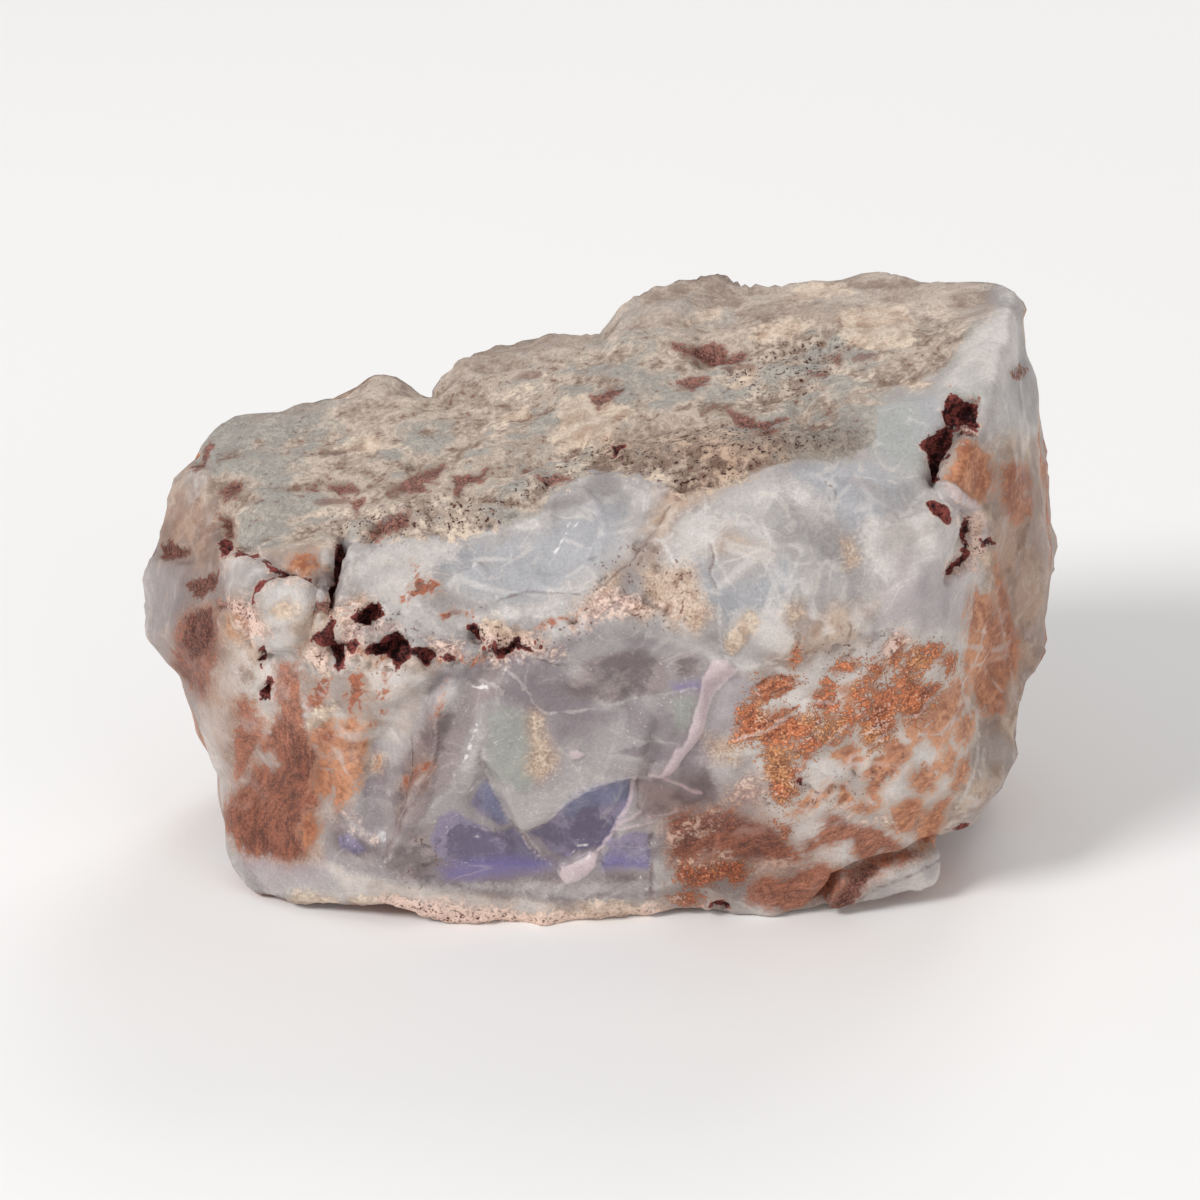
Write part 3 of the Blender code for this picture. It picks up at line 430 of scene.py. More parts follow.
# The glint lines are painted highlights: bright glints on the ledge, and dashes and dots on the clearer
# opal.
LINES = """
pit:
  left_crack 1.3 237,555 250,557 265,563 275,571 287,574 307,580
  left_crack_low 1 290,577 275,579 262,583 256,597 254,610
pink:
  low_arc 1 523,837 535,853 553,867 573,867
  block_low 1.4 646,816 663,814 677,811
  crevice_rim 2.4 942,486 952,492 964,500 974,507 981,516 983,528 981,538
  rib 1.8 634,777 632,792 628,807 621,820 613,831 605,841 597,853
  rib_b 1.2 641,811 630,818 618,827 608,838
  rib_c 1 652,822 636,824 620,829
  line_right 1.6 650,775 664,776 678,782 690,789 702,793
white:
  ring_a 1 670,537 680,517 697,507 717,511 719,527 713,537
  ring_b 0.9 713,537 715,560 727,580 737,593 767,600 787,593
  ring_c 0.9 787,567 797,593 793,627 783,650 760,666 740,664 723,653
  ring_d 0.8 793,563 813,565 843,563 857,543 880,530 900,520 927,522 943,530 950,547 940,567
  ring_e 0.7 743,523 767,543 790,562
  ring_f 0.8 870,563 887,577 880,593 873,600
  rust_a 1.5 860,670 867,657 877,643 893,633
  rust_b 1.4 810,677 823,673 853,670 867,657
  rust_c 1.6 740,737 767,727 793,710 813,697 833,700 847,690
  rust_d 1.6 833,770 863,750 887,730 900,717 917,713 940,690 947,680
  rust_e 1.4 957,667 963,693 977,713 980,747 970,780 950,823 927,844
  rust_f 1.2 787,810 813,810 833,790 847,780
  rust_g 1.2 813,847 793,827 780,813 767,810
  dome_rim 1.2 927,844 903,837 890,817 887,793 900,770 920,753
  edge_a 1.2 978,567 967,620 960,660
  edge_b 1 982,547 993,587 1003,640 1013,680 1010,717
  crumb_c 1 480,680 500,687 503,693
  crumb_d 1 503,667 520,677 523,687
  ledge_top_a 1.6 357,547 393,537 430,542 460,538 500,533 533,523
  ledge_top_b 1.2 347,537 353,560 337,613
  ledge_a 0.8 360,567 393,587 433,613 473,633
  ledge_b 0.8 440,560 473,587 533,597 580,597
  ledge_c 0.7 427,577 460,593 493,610 553,620
  ledge_d 0.7 340,613 360,580 373,553
  low_a 1.2 347,893 373,887 413,893 457,897
  plate_left 0.9 485,765 488,778 503,806 523,833
  plate_right 1.1 523,833 549,818 564,802 583,790 612,778 634,776 655,777
  plate_top 0.8 546,712 580,709 630,698 671,691 696,688
  cap 0.8 527,665 525,681 533,699 546,712
  low_d 1 555,890 574,871 583,862
  low_e 1.2 592,904 611,892 630,887
  lens_a 1.1 750,875 777,858 827,850 848,846
  lens_b 0.9 768,900 793,883 818,871 843,850
  rust_h 1.2 810,833 793,817 787,808 793,796
  rust_i 1 756,825 735,817 718,825
  rust_j 1 852,800 835,808 827,817
  rust_k 1.3 848,721 827,738 810,758
  edge_c 1 975,580 971,613 962,647 959,680 971,718
  lip 2.2 920,440 925,463 940,485 959,497 975,509 983,526 981,547
  milk_a 0.8 788,565 812,563 835,560 844,556
  milk_b 0.8 738,518 765,535 788,559 791,588 788,606
  milk_c 1 718,588 718,624 726,662 747,665 776,660 794,651
  milk_d 0.9 853,538 874,526 912,512
  milk_e 1.3 872,562 879,574 885,579 882,588
  skin_line 1 718,444 765,446 806,447 853,456
  tip_line 0.9 522,832 530,842 540,854 550,864
  plate_edge_low 0.8 522,832 546,821 560,806 574,793 592,785 612,780 632,776
  plate_edge_left 0.8 484,736 486,760 492,780 502,800 511,820 522,832
  fold 0.9 438,712 436,736 433,752 426,776 416,800 404,822 394,846 386,862
pores:
  fracture 3 651,813 652,853 651,898
crack:
  fold 1.1 439,712 438,746 424,790 402,828 383,859
  fold_b 0.7 482,746 479,765 488,778
  fracture 1 648,834 652,859 650,896
  plate 0.7 523,834 536,852 555,867
  knobs 0.9 255,596 257,585 271,579 305,579
  flake 1.6 825,906 852,879 877,867 906,854 922,850 948,835
  flake_b 1 852,908 877,888 914,875 943,858
  block 0.8 637,778 638,806 646,816
  skin_foot 0.7 671,509 653,535 629,565 600,588
  milk 0.6 825,488 835,494 837,503
  round 0.6 710,544 713,559 709,576 718,588
  ledge_low 0.9 442,618 455,612 474,617
  ledge_hair 0.6 480,609 530,593 580,595
  drip_a 0.7 846,648 846,640 850,630 851,624 847,622
  drip_b 0.6 793,658 794,648 800,641
  net_top 0.7 757,683 766,676 780,673 800,676 807,680
  net_mid 0.6 760,692 776,688 790,682 802,679
  net_low 0.6 764,722 778,712 790,706 797,704
  net_side 0.6 800,699 809,691
  crest_top 1 882,645 890,638 900,632
  fibre_dark 0.8 915,765 922,762
glint:
  ledge_a 0.7 570,523 563,539 555,553
  ledge_b 0.5 577,520 572,530
  dash_a 0.8 472,684 478,686 482,686
  dash_b 0.6 484,685 492,688
  dot_a 1.1 448,828 448,831
  dot_b 1 470,825 470,827
  dot_c 0.9 475,836 477,835
  dash_c 0.6 572,852 578,846 588,844
  streak_a 1 479,720 476,732 470,746 464,758
  streak_b 0.7 474,778 466,788 462,794
peach:
  left_diagonal 2 350,811 358,824 368,836 377,843
  low_edge 1.8 834,804 846,811 858,820 874,817 890,821
  low_edge_b 1.6 672,857 700,857 730,856 750,860 790,863
  crease_a 3 232,550 250,556 264,562 276,572 292,579 310,581
  crease_b 3 276,582 264,586 256,596 250,606
fleck:
  ledge_tail 1 412,562 416,568 418,578
  ledge_tip 1 430,582 438,588 444,596
  a 1.3 358,714 363,705 372,698 382,694 390,686
  b 1 384,690 387,680 388,672
  c 1.1 346,688 350,700 354,712
  d 1 291,652 298,647 306,640
  e 0.9 372,722 378,717 386,712
  f 1.2 409,782 414,775 421,769 428,764
  g 1 374,762 379,757 381,764 376,768
  h 0.9 443,617 450,613 460,613 472,617
  i 0.9 443,680 440,700 436,716
  j 1 344,612 352,606 360,600
  crest 1.6 878,652 884,645 892,640 901,635
  crest_b 1.2 876,672 882,668 888,666
  net_a 1 758,684 766,677 780,674 800,677
  net_b 1 762,698 774,692 786,686 800,680
  net_c 1 764,722 780,712 794,706
  net_d 1 800,706 806,700 810,692
  row_a 1.1 330,640 345,655 362,648 378,662 396,652
  row_b 1.1 440,662 456,652 470,664 484,656
  row_c 1.1 500,628 516,640 540,630 560,622 580,614
cream:
  low_edge 1.6 834,806 846,812 860,818 876,818 890,822
"""

# The tints of the finish as the eye names them, 0 to 255: some alone, some from dark to light
TINTS = {
    "milky": ((150, 144, 143), (186, 180, 177)), "clear": ((132, 120, 124), (164, 156, 156)),
    "skin": ((128, 108, 96), (190, 174, 160)), "tan": ((156, 126, 106), (192, 168, 148)),
    "dusk": ((112, 97, 98), (148, 134, 133)), "deep": ((98, 90, 116), (136, 127, 152)),
    "brown": ((102, 54, 38), (178, 114, 86)), "brown edge": ((156, 112, 92), (190, 156, 138)),
    "wash": ((150, 84, 50), (202, 142, 104)), "rust edge": ((170, 112, 80), (206, 160, 132)),
    "rust": ((104, 40, 22), (200, 116, 72)), "yellow rust": ((128, 78, 42), (204, 148, 100)),
    "fleck": ((98, 44, 28), (172, 94, 60)), "ochre": ((174, 134, 100), (208, 177, 147)),
    "peach": ((172, 116, 98), (206, 176, 162)), "haze": ((160, 142, 131), (192, 177, 166)),
    "cream": ((190, 162, 140), (228, 206, 184)), "stain": ((74, 36, 32), (140, 90, 78)),
    "pit rim": ((156, 92, 76), (222, 194, 180)), "clay": ((38, 9, 13), (136, 68, 62)),
    "milky blue": (160, 162, 168), "milky green": (166, 167, 160), "milky white": (204, 196, 191),
    "milky violet": (120, 108, 140), "clear green": (160, 163, 153), "clear blue": (122, 126, 154),
    "clear white": (182, 175, 172), "clear violet": (112, 102, 162), "lavender": (170, 157, 162),
    "vein": (214, 203, 194), "darker band": (158, 145, 138), "grey fibres": (172, 158, 154),
    "wash edge": (192, 160, 138), "rust grain": (224, 182, 152), "rust net": (202, 190, 182),
    "fleck edge": (184, 136, 108), "pink": (204, 184, 187), "white thread": (206, 199, 195),
    # The glint tint is the colour of painted highlights
    "ridge": (208, 202, 198), "glint": (228, 222, 222), "crack": (104, 74, 68), "pore": (116, 64, 48),
    # The opal and skin shade tints are painted shade, multiplied over the colour
    "opal painted shade": (214, 196, 188), "skin crumb": (222, 202, 182), "skin grey": (144, 145, 141),
    "skin maroon": (118, 76, 66), "skin crevice": (112, 88, 76), "skin hollow": (134, 84, 68),
    "pinhole": (70, 36, 30), "skin painted shade": (212, 196, 188),
}

# Fracture planes: a point on the plane, its heading (0 faces the front, 90 the right end, 180
# the back) and its tilt (90 faces up)
PLANES = {
    "weathered_top": ((0.0, 0.0, 20.0), -69.0, 78.0),
    "top_left_slope": ((-17.0, 3.5, 17.0), -72.0, 34.0),
    "upper_front_left": ((-4.0, -8.6, 17.0), -6.0, 45.0),
    "upper_front_right": ((9.0, -9.6, 18.0), 8.0, 27.0),
    "middle_front_right": ((9.0, -11.1, 13.5), 14.0, 9.0),
    "lower_front": ((0.0, -11.2, 13.5), 2.0, -11.0),
    "lower_front_left": ((-11.5, -8.9, 8.0), -30.0, -7.0),
    "lower_front_right": ((11.0, -9.6, 8.0), 22.0, -8.0),
    "left_corner": ((-16.6, -5.9, 12.0), -55.0, -4.0),
    "left_end_low": ((-18.6, 1.0, 6.0), -80.0, -16.0),
    "left_end": ((-20.3, 2.5, 11.5), -78.0, 12.0),
    "right_corner": ((15.9, -6.2, 15.0), 52.0, 4.0),
    "right_end_high": ((18.6, 4.0, 20.0), 80.0, 14.0),
    "right_end": ((20.0, 1.5, 13.0), 84.0, -3.0),
    "right_end_low": ((18.9, 0.5, 6.0), 76.0, -22.0),
    "right_back": ((15.5, 8.0, 12.0), 134.0, 6.0),
    "back_high": ((6.0, 11.4, 17.0), 176.0, 14.0),
    "back_low": ((0.0, 10.8, 6.0), 176.0, -16.0),
    "back_step": ((-6.0, 8.4, 14.0), 198.0, 6.0),
    "back_left": ((-15.0, 6.4, 11.0), 226.0, 4.0),
    "underside_front": ((0.0, -9.4, 0.5), 0.0, -62.0),
    "underside_left": ((-16.5, 0.0, 1.6), -90.0, -60.0),
    "underside_right": ((17.0, 0.0, 1.8), 88.0, -52.0),
    "underside_back": ((0.0, 8.6, 2.2), 180.0, -58.0),
    "underside_rising_left": ((-8.0, 0.0, -0.35), -80.0, -81.0),
    "underside_rising_right": ((9.5, 0.0, -0.35), 104.0, -80.0),
    "underside_rising_back": ((0.0, 3.6, -0.4), 172.0, -76.0),
    "underside": ((0.0, 0.0, -0.75), 20.0, -88.5),
}

# Shells broken out: a point on the surface, the heading and tilt that it faces, the scar's
# radius and its depth
SCOOPS = {
    "ledge_scar": ((-4.5, -8.6, 17.3), -8.0, 47.0, 5.8, 1.0),
    "pale_scar": ((7.0, -10.0, 16.6), 12.0, 30.0, 3.6, 0.35),
    "middle_scar": ((1.5, -10.9, 9.5), -4.0, -6.0, 6.0, 0.5),
    "left_scar": ((-10.0, -9.6, 7.0), -24.0, -6.0, 4.4, 0.55),
    "left_end_scar": ((-18.8, -1.0, 14.0), -70.0, 10.0, 4.0, 0.6),
    "right_end_scar": ((19.6, 2.5, 17.0), 82.0, 6.0, 5.0, 0.45),
    "right_low_scar": ((18.4, 1.5, 6.0), 80.0, -16.0, 3.6, 0.5),
    "back_left_scar": ((-9.0, 8.4, 12.0), 204.0, 8.0, 6.5, 1.3),
    "back_right_scar": ((9.5, 10.8, 9.0), 164.0, -6.0, 7.0, 1.3),
    "back_middle_scar": ((0.5, 10.8, 8.0), 186.0, -14.0, 6.0, 0.9),
    "back_low_scar": ((-9.0, 7.8, 3.5), 206.0, -20.0, 4.6, 0.8),
    "back_high_scar": ((6.0, 11.2, 18.0), 178.0, 18.0, 4.4, 0.7),
    "under_scar": ((4.0, 7.0, 0.6), 170.0, -70.0, 5.0, 0.6),
    "back_top_chip": ((1.0, 10.5, 19.0), 182.0, 40.0, 3.4, 0.9),
    "back_end_scar": ((16.2, 7.6, 15.0), 128.0, 10.0, 4.2, 0.6),
}

# The outline seen from in front: how far it stands from the middle of the picture every five
# degrees, from the right end over the top
OUTLINE = (
    19.7, 20.0, 20.3, 20.5, 20.7, 21.3, 21.8, 22.3, 22.0, 20.4, 19.1, 17.6,
    16.4, 15.6, 15.3, 14.7, 14.0, 13.1, 11.9, 11.7, 11.8, 11.8, 11.9, 12.0,
    12.1, 12.2, 12.4, 13.8, 14.6, 15.8, 17.2, 18.4, 18.8, 19.3, 19.6, 20.0,
    20.0, 19.9, 19.1, 18.7, 18.6, 18.7, 19.2, 19.6, 19.8, 18.9, 17.6, 16.6,
    16.1, 15.6, 15.1, 14.7, 14.7, 14.1, 13.9, 13.8, 13.9, 14.1, 14.6, 15.4,
    16.2, 17.0, 17.8, 18.5, 19.1, 18.7, 19.1, 19.3, 19.3, 19.1, 19.1, 19.4,
)

# Grooves (below zero) and ridges: height, half width and the line they follow, across and up
FORM_LINES = {
    "left_crevice": (-1.1, 0.5, ((-11.4, 2.6), (-11.5, 1.1), (-11.8, -0.3))),
    "left_crack": (-0.45, 0.35, ((-16.1, 2.1), (-14.8, 1.7), (-13.7, 1.2), (-12.6, 0.8))),
    "block_split": (-0.35, 0.3, ((-13.7, 1.0), (-15.0, 0.7), (-15.4, -0.5), (-15.4, -2.0))),
    "left_slit": (-0.5, 0.35, ((-16.4, 3.4), (-16.4, 2.2))),
    "left_notch": (-0.4, 0.5, ((-17.9, 6.3), (-16.1, 5.2))),
    "left_low_notch": (-0.35, 0.5, ((-19.8, 2.4), (-18.1, 1.9))),
    "right_crevice": (-1.2, 0.75, ((16.4, 9.0), (16.1, 7.6), (14.9, 6.5), (14.7, 5.3))),
    "right_crevice_tail": (-0.7, 0.4, ((16.1, 3.8), (16.1, 1.8), (15.5, 1.1))),
    "right_lip": (0.35, 0.45, ((14.4, 5.2), (15.1, 5.0), (16.7, 4.1), (16.9, 3.4), (16.4, 2.1))),
    "pink_ridge": (0.3, 0.5, ((5.5, -2.8), (4.5, -3.4), (4.3, -5.1), (3.1, -7.3), (2.4, -7.7))),
    "brown_edge": (0.22, 0.5, ((-6.3, -3.2), (-7.2, -4.9), (-7.3, -6.3), (-7.8, -8.0), (-8.5, -9.7),
                               (-9.4, -11.4))),
    "low_right_cut": (-0.8, 0.5, ((9.5, -13.8), (10.8, -12.7), (12.4, -11.9), (15.3, -11.1))),
    "ledge_lip": (0.35, 0.6, ((-11.0, 3.1), (-7.5, 3.3), (-2.7, 4.4), (2.2, 5.6))),
    "top_step": (-0.45, 0.9, ((-6.0, 5.0), (-3.4, 6.2), (-1.2, 7.0))),
}

# Pieces that stand proud (or lie deeper, below zero): height, width of the edge, and the
# corners, across and up
PLATES = {
    "middle_plate": (0.3, 0.4, ((-5.5, -5.7), (-5.0, -7.2), (-3.4, -10.3), (-2.3, -9.9), (-1.6, -9.0),
                                (-0.6, -8.3), (1.5, -7.8), (2.4, -5.3), (0.4, -3.1), (-3.5, -2.7),
                                (-5.3, -4.0))),
    "under_plate": (-0.45, 0.7, ((-5.2, -7.0), (-3.4, -10.3), (-1.6, -9.0), (-0.6, -8.3), (1.5, -7.8),
                                 (0.8, -10.0), (-0.1, -11.4), (-1.8, -11.9), (-3.8, -11.1),
                                 (-6.0, -8.8))),
    "brown_facet": (-0.45, 0.8, ((-6.6, -3.5), (-7.6, -5.1), (-8.0, -7.9), (-9.4, -10.9), (-10.8, -9.6),
                                 (-10.6, -6.5), (-8.8, -4.2), (-7.4, -3.2))),
    "left_blocks": (0.5, 0.5, ((-16.4, 2.0), (-14.8, 1.9), (-12.9, 0.6), (-12.9, -0.8), (-13.3, -1.8),
                               (-14.9, -2.2), (-16.3, -0.9))),
    "right_dome": (0.6, 1.6, ((12.2, -7.2), (15.0, -6.6), (17.2, -8.0), (16.6, -10.4), (13.0, -10.6))),
    "veined_dome": (0.35, 1.4, ((2.2, 2.2), (3.4, 4.6), (8.0, 5.6), (13.2, 5.0), (14.2, 0.0),
                                (9.0, -2.4), (4.6, -1.6))),
    "flake": (0.4, 0.4, ((10.2, -13.8), (10.8, -12.9), (12.4, -12.2), (15.4, -11.4), (15.0, -12.6),
                         (12.4, -13.5))),
}

# Pits: across, up, radius and depth
PITS = (
    (-10.1, -0.7, 0.75, 0.7), (-11.7, -2.1, 0.85, 0.8), (-9.4, -2.1, 0.9, 0.9), (-7.5, -2.4, 0.6, 0.6),
    (-5.3, -1.5, 0.6, 0.6), (-4.0, -2.0, 0.8, 0.8), (-1.0, -1.0, 0.45, 0.4), (-14.9, -2.4, 0.4, 0.5),
    (-14.7, -3.9, 0.5, 0.6), (-12.2, 1.1, 0.9, 0.7), (5.3, -13.5, 0.45, 0.4), (-8.2, 5.9, 0.6, 0.35),
    (-9.7, 3.2, 0.6, 0.4), (4.7, 10.9, 0.8, 0.4), (8.9, 8.2, 0.7, 0.35), (-7.7, 9.4, 0.5, 0.6),
)

# Knobs: a point, its radius and how far it stands out
KNOBS = (
    ((-10.0, 6.4, 19.0), 2.0, 0.8),
    ((-14.6, 3.0, 18.6), 2.6, 0.45),
    ((9.0, 5.0, 22.6), 4.2, 0.35),
    ((13.4, 8.6, 19.0), 3.0, 0.5),
    ((-4.0, 9.4, 5.0), 3.0, 0.6),
    ((18.6, 4.6, 12.0), 2.8, 0.4),
)


def read_marks(table):
    """The marks of each layer, by name: a layer ends in a colon, and a point has a comma."""
    layers = {}
    for word in table.split():
        if word.endswith(":"):
            layer = layers.setdefault(word[:-1], {})
        elif "," in word:
            mark["points"].append([float(part) for part in word.split(",")])
        elif word[0].isalpha():
            mark = layer[word] = {"half_width": 0.0, "points": []}
        else:
            mark["half_width"] = float(word)
    return layers


def facing(heading, tilt):
    """The unit vector that a face with this heading and tilt points along."""
    a, t = math.radians(heading), math.radians(tilt)
    return np.array((math.sin(a) * math.cos(t), -math.cos(a) * math.cos(t), math.sin(t)))


TO_EYE = facing(0.0, EYE_HEIGHT)
PICTURE_ACROSS = np.array((1.0, 0.0, 0.0))
PICTURE_UP = np.cross(TO_EYE, PICTURE_ACROSS)


def smooth_step(low, high, value):
    part = np.clip((value - low) / (high - low), 0.0, 1.0)
    return part * part * (3.0 - 2.0 * part)


def on_picture(points):
    """Where each point is seen on the flat picture: across and up."""
    arm = points - MIDDLE
    nearer = EYE_DISTANCE / (EYE_DISTANCE - arm @ TO_EYE)
    return np.stack((arm @ PICTURE_ACROSS, arm @ PICTURE_UP), axis=1) * nearer[:, None]


def distance_to_line(seen, corners, closed=False):
    corners = np.array(corners)
    ends = np.roll(corners, -1, axis=0) if closed else corners[1:]
    nearest = np.full(len(seen), 1e9)
    for start, end in zip(corners, ends):
        run = end - start
        part = np.clip((seen - start) @ run / (run @ run), 0.0, 1.0)
        gap = np.linalg.norm(seen - start - part[:, None] * run, axis=1)
        nearest = np.minimum(nearest, gap)
    return nearest


def depth_inside(seen, corners):
    """How far each seen point lies inside the outline; below zero it is outside."""
    corners = np.array(corners)
    odd = np.zeros(len(seen), dtype=bool)
    for (x0, y0), (x1, y1) in zip(corners, np.roll(corners, -1, axis=0)):
        spans = (y0 > seen[:, 1]) != (y1 > seen[:, 1])
        crossing = x0 + (seen[:, 1] - y0) * (x1 - x0) / ((y1 - y0) or 1e-9)
        odd ^= spans & (seen[:, 0] < crossing)
    gap = distance_to_line(seen, corners, closed=True)
    return np.where(odd, gap, -gap)


def noise_values(points, size, seed):
    """Smooth noise whose lumps are size across, between about -1 and 1, at each point."""
    offset = Vector((seed, seed * 0.7, -seed))
    return np.array([noise.noise(Vector(p) + offset) for p in points / np.array(size)])


def lumps(points, size, seed):
    return noise_values(points, (size, size, size), seed)


def noise_moves(points, size, seed):
    return np.stack([lumps(points, size, seed + shift) for shift in (0.0, 31.3, 57.9)], axis=1)


def block_field(points):
    """How far each point is outside the block, in millimetres; below zero it is inside."""
    walls = [(points - np.array(spot)) @ facing(h, t) for spot, h, t in PLANES.values()]
    stacked = np.stack(walls) / EDGE_ROUNDING
    highest = stacked.max(axis=0)
    block = EDGE_ROUNDING * (highest + np.log(np.exp(stacked - highest).sum(axis=0)))
    for spot, heading, tilt, radius, depth in SCOOPS.values():
        ball = (radius**2 + depth**2) / (2 * depth)
        centre = np.array(spot) + facing(heading, tilt) * (ball - depth)
        block = np.maximum(block, ball - np.linalg.norm(points - centre, axis=1))
    return block


def fractured_block(directions):
    """The point on the block's surface along each direction from its middle."""
    near = np.zeros(len(directions))
    far = np.full(len(directions), REACH)
    for _ in range(HALVINGS):
        half = (near + far) / 2
        outside = block_field(MIDDLE + directions * half[:, None]) > 0
        far = np.where(outside, half, far)
        near = np.where(outside, near, half)
    return MIDDLE + directions * near[:, None]


def drawn_to_outline(points):
    """The block moved square to the line of sight until its outline is the measured one."""
    seen = on_picture(points)
    reach = np.linalg.norm(seen, axis=1)
    turn = np.degrees(np.arctan2(seen[:, 1], seen[:, 0])) % 360
    count = len(OUTLINE)
    step = 360 / count
    sector = np.rint(turn / step).astype(int) % count
    rim = np.array([reach[sector == k].max() for k in range(count)])
    rim = (np.roll(rim, 1) + 2 * rim + np.roll(rim, -1)) / 4
    stretch = (np.array(OUTLINE) + OUTLINE_ROUGHNESS) / rim
    broad = sum(np.roll(stretch, k) for k in range(-3, 4)) / 7
    around = np.arange(count + 1) * step

    def at_turn(values):
        return np.interp(turn, around, np.append(values, values[0]))

    nearness = reach / at_turn(rim)
    change = at_turn(broad - 1) * smooth_step(0.3, 1.0, nearness)
    change += at_turn(stretch - broad) * smooth_step(0.78, 1.0, nearness)
    arm = points - MIDDLE
    along_sight = (arm @ TO_EYE)[:, None] * TO_EYE
    return MIDDLE + along_sight + (arm - along_sight) * (1 + change)[:, None]


def surface_relief(points, normals):
    """How far each point of the surface is moved out along its normal, in millimetres."""
    wander = noise_moves(points, 1.6, 5.3)[:, :2] * 0.35
    seen = on_picture(points) + wander
    in_view = smooth_step(0.08, 0.3, normals @ TO_EYE)
    upward = smooth_step(0.75, 0.95, normals[:, 2])

    face = np.zeros(len(points))
    for height, edge, corners in PLATES.values():
        face += height * smooth_step(-edge / 2, edge / 2, depth_inside(seen, corners))
    for height, half_width, corners in FORM_LINES.values():
        face += height * (1 - smooth_step(0.0, half_width, distance_to_line(seen, corners)))
    for across, up, radius, depth in PITS:
        gap = np.linalg.norm(seen - np.array((across, up)), axis=1)
        face -= depth * (1 - smooth_step(0.25 * radius, radius, gap))
    relief = face * in_view

    for spot, radius, height in KNOBS:
        gap = np.linalg.norm(points - np.array(spot), axis=1)
        relief += height * (1 - smooth_step(0.0, radius, gap))

    # The weathered top is streaked along the stone, and the broken sides are lumpier
    streaks = noise_values(points, (5.5, 1.7, 1.7), 2.2) - 0.5 * np.abs(
        noise_values(points, (3.0, 1.1, 1.1), 8.4))
    relief += 0.42 * streaks * upward
    swells = noise_values(points, (3.4, 3.4, 2.4), 14.9) - 0.6 * np.abs(
        noise_values(points, (4.6, 4.6, 3.2), 27.1))
    relief += 0.3 * swells * (1 - upward) * (1 - 0.7 * in_view)
    grains = lumps(points, 1.1, 21.7)
    orange_side = smooth_step(1.0, 5.0, seen[:, 0]) * smooth_step(1.0, -3.0, seen[:, 1])
    relief += (0.07 + 0.12 * orange_side * in_view) * grains
    return relief


def vertex_normals(points, triangles):
    corner = points[triangles]
    across = np.cross(corner[:, 1] - corner[:, 0], corner[:, 2] - corner[:, 0])
    summed = np.zeros_like(points)
    for k in range(3):
        for axis in range(3):
            summed[:, axis] += np.bincount(triangles[:, k], across[:, axis], len(points))
    return summed / np.linalg.norm(summed, axis=1)[:, None]


def fine_sphere():
    """Directions from the stone's middle, closer together on the side that the photo shows."""
    bm = bmesh.new()
    bmesh.ops.create_icosphere(bm, subdivisions=COARSE_SUBDIVISIONS, radius=1.0)

    def directions():
        found = np.array([v.co for v in bm.verts])
        return found / np.linalg.norm(found, axis=1)[:, None]

    points = fractured_block(directions())
    for vertex, point in zip(bm.verts, points):
        vertex.co = point
    bm.normal_update()
    eye = Vector(MIDDLE + EYE_DISTANCE * TO_EYE)
    seen = [f for f in bm.faces if f.normal.dot((eye - f.verts[0].co).normalized()) > FACING_THE_PHOTO]
    edges = list({e for f in seen for e in f.edges})
    for vertex, point in zip(bm.verts, points - MIDDLE):
        vertex.co = point / np.linalg.norm(point)
    bmesh.ops.subdivide_edges(bm, edges=edges, cuts=1, use_grid_fill=True)
    bmesh.ops.triangulate(bm, faces=list(bm.faces))
    bm.verts.index_update()
    triangles = np.array([[v.index for v in f.verts] for f in bm.faces])
    found = directions()
    bm.free()
    return found, triangles


def photo_place(points):
    """Where each point falls on the photo, in its pixels from the top left."""
    seen = on_picture(points) * PIXELS_PER_MM
    return np.stack((PHOTO_MIDDLE + seen[:, 0], PHOTO_MIDDLE - seen[:, 1]), axis=1)


def mark_depths(pixels):
    """For each layer, how many millimetres each place lies inside its marks, outside below zero."""
    areas, lines, depths = read_marks(AREAS), read_marks(LINES), {}
    for layer in sorted(set(areas) | set(lines)):
        depth = np.full(len(pixels), FAR_OUTSIDE)
        for mark in areas.get(layer, {}).values():
            depth = np.maximum(depth, depth_inside(pixels, mark["points"]))
        for mark in lines.get(layer, {}).values():
            depth = np.maximum(depth, mark["half_width"] - distance_to_line(pixels, mark["points"]))
        depths[layer] = depth / PIXELS_PER_MM
    return depths


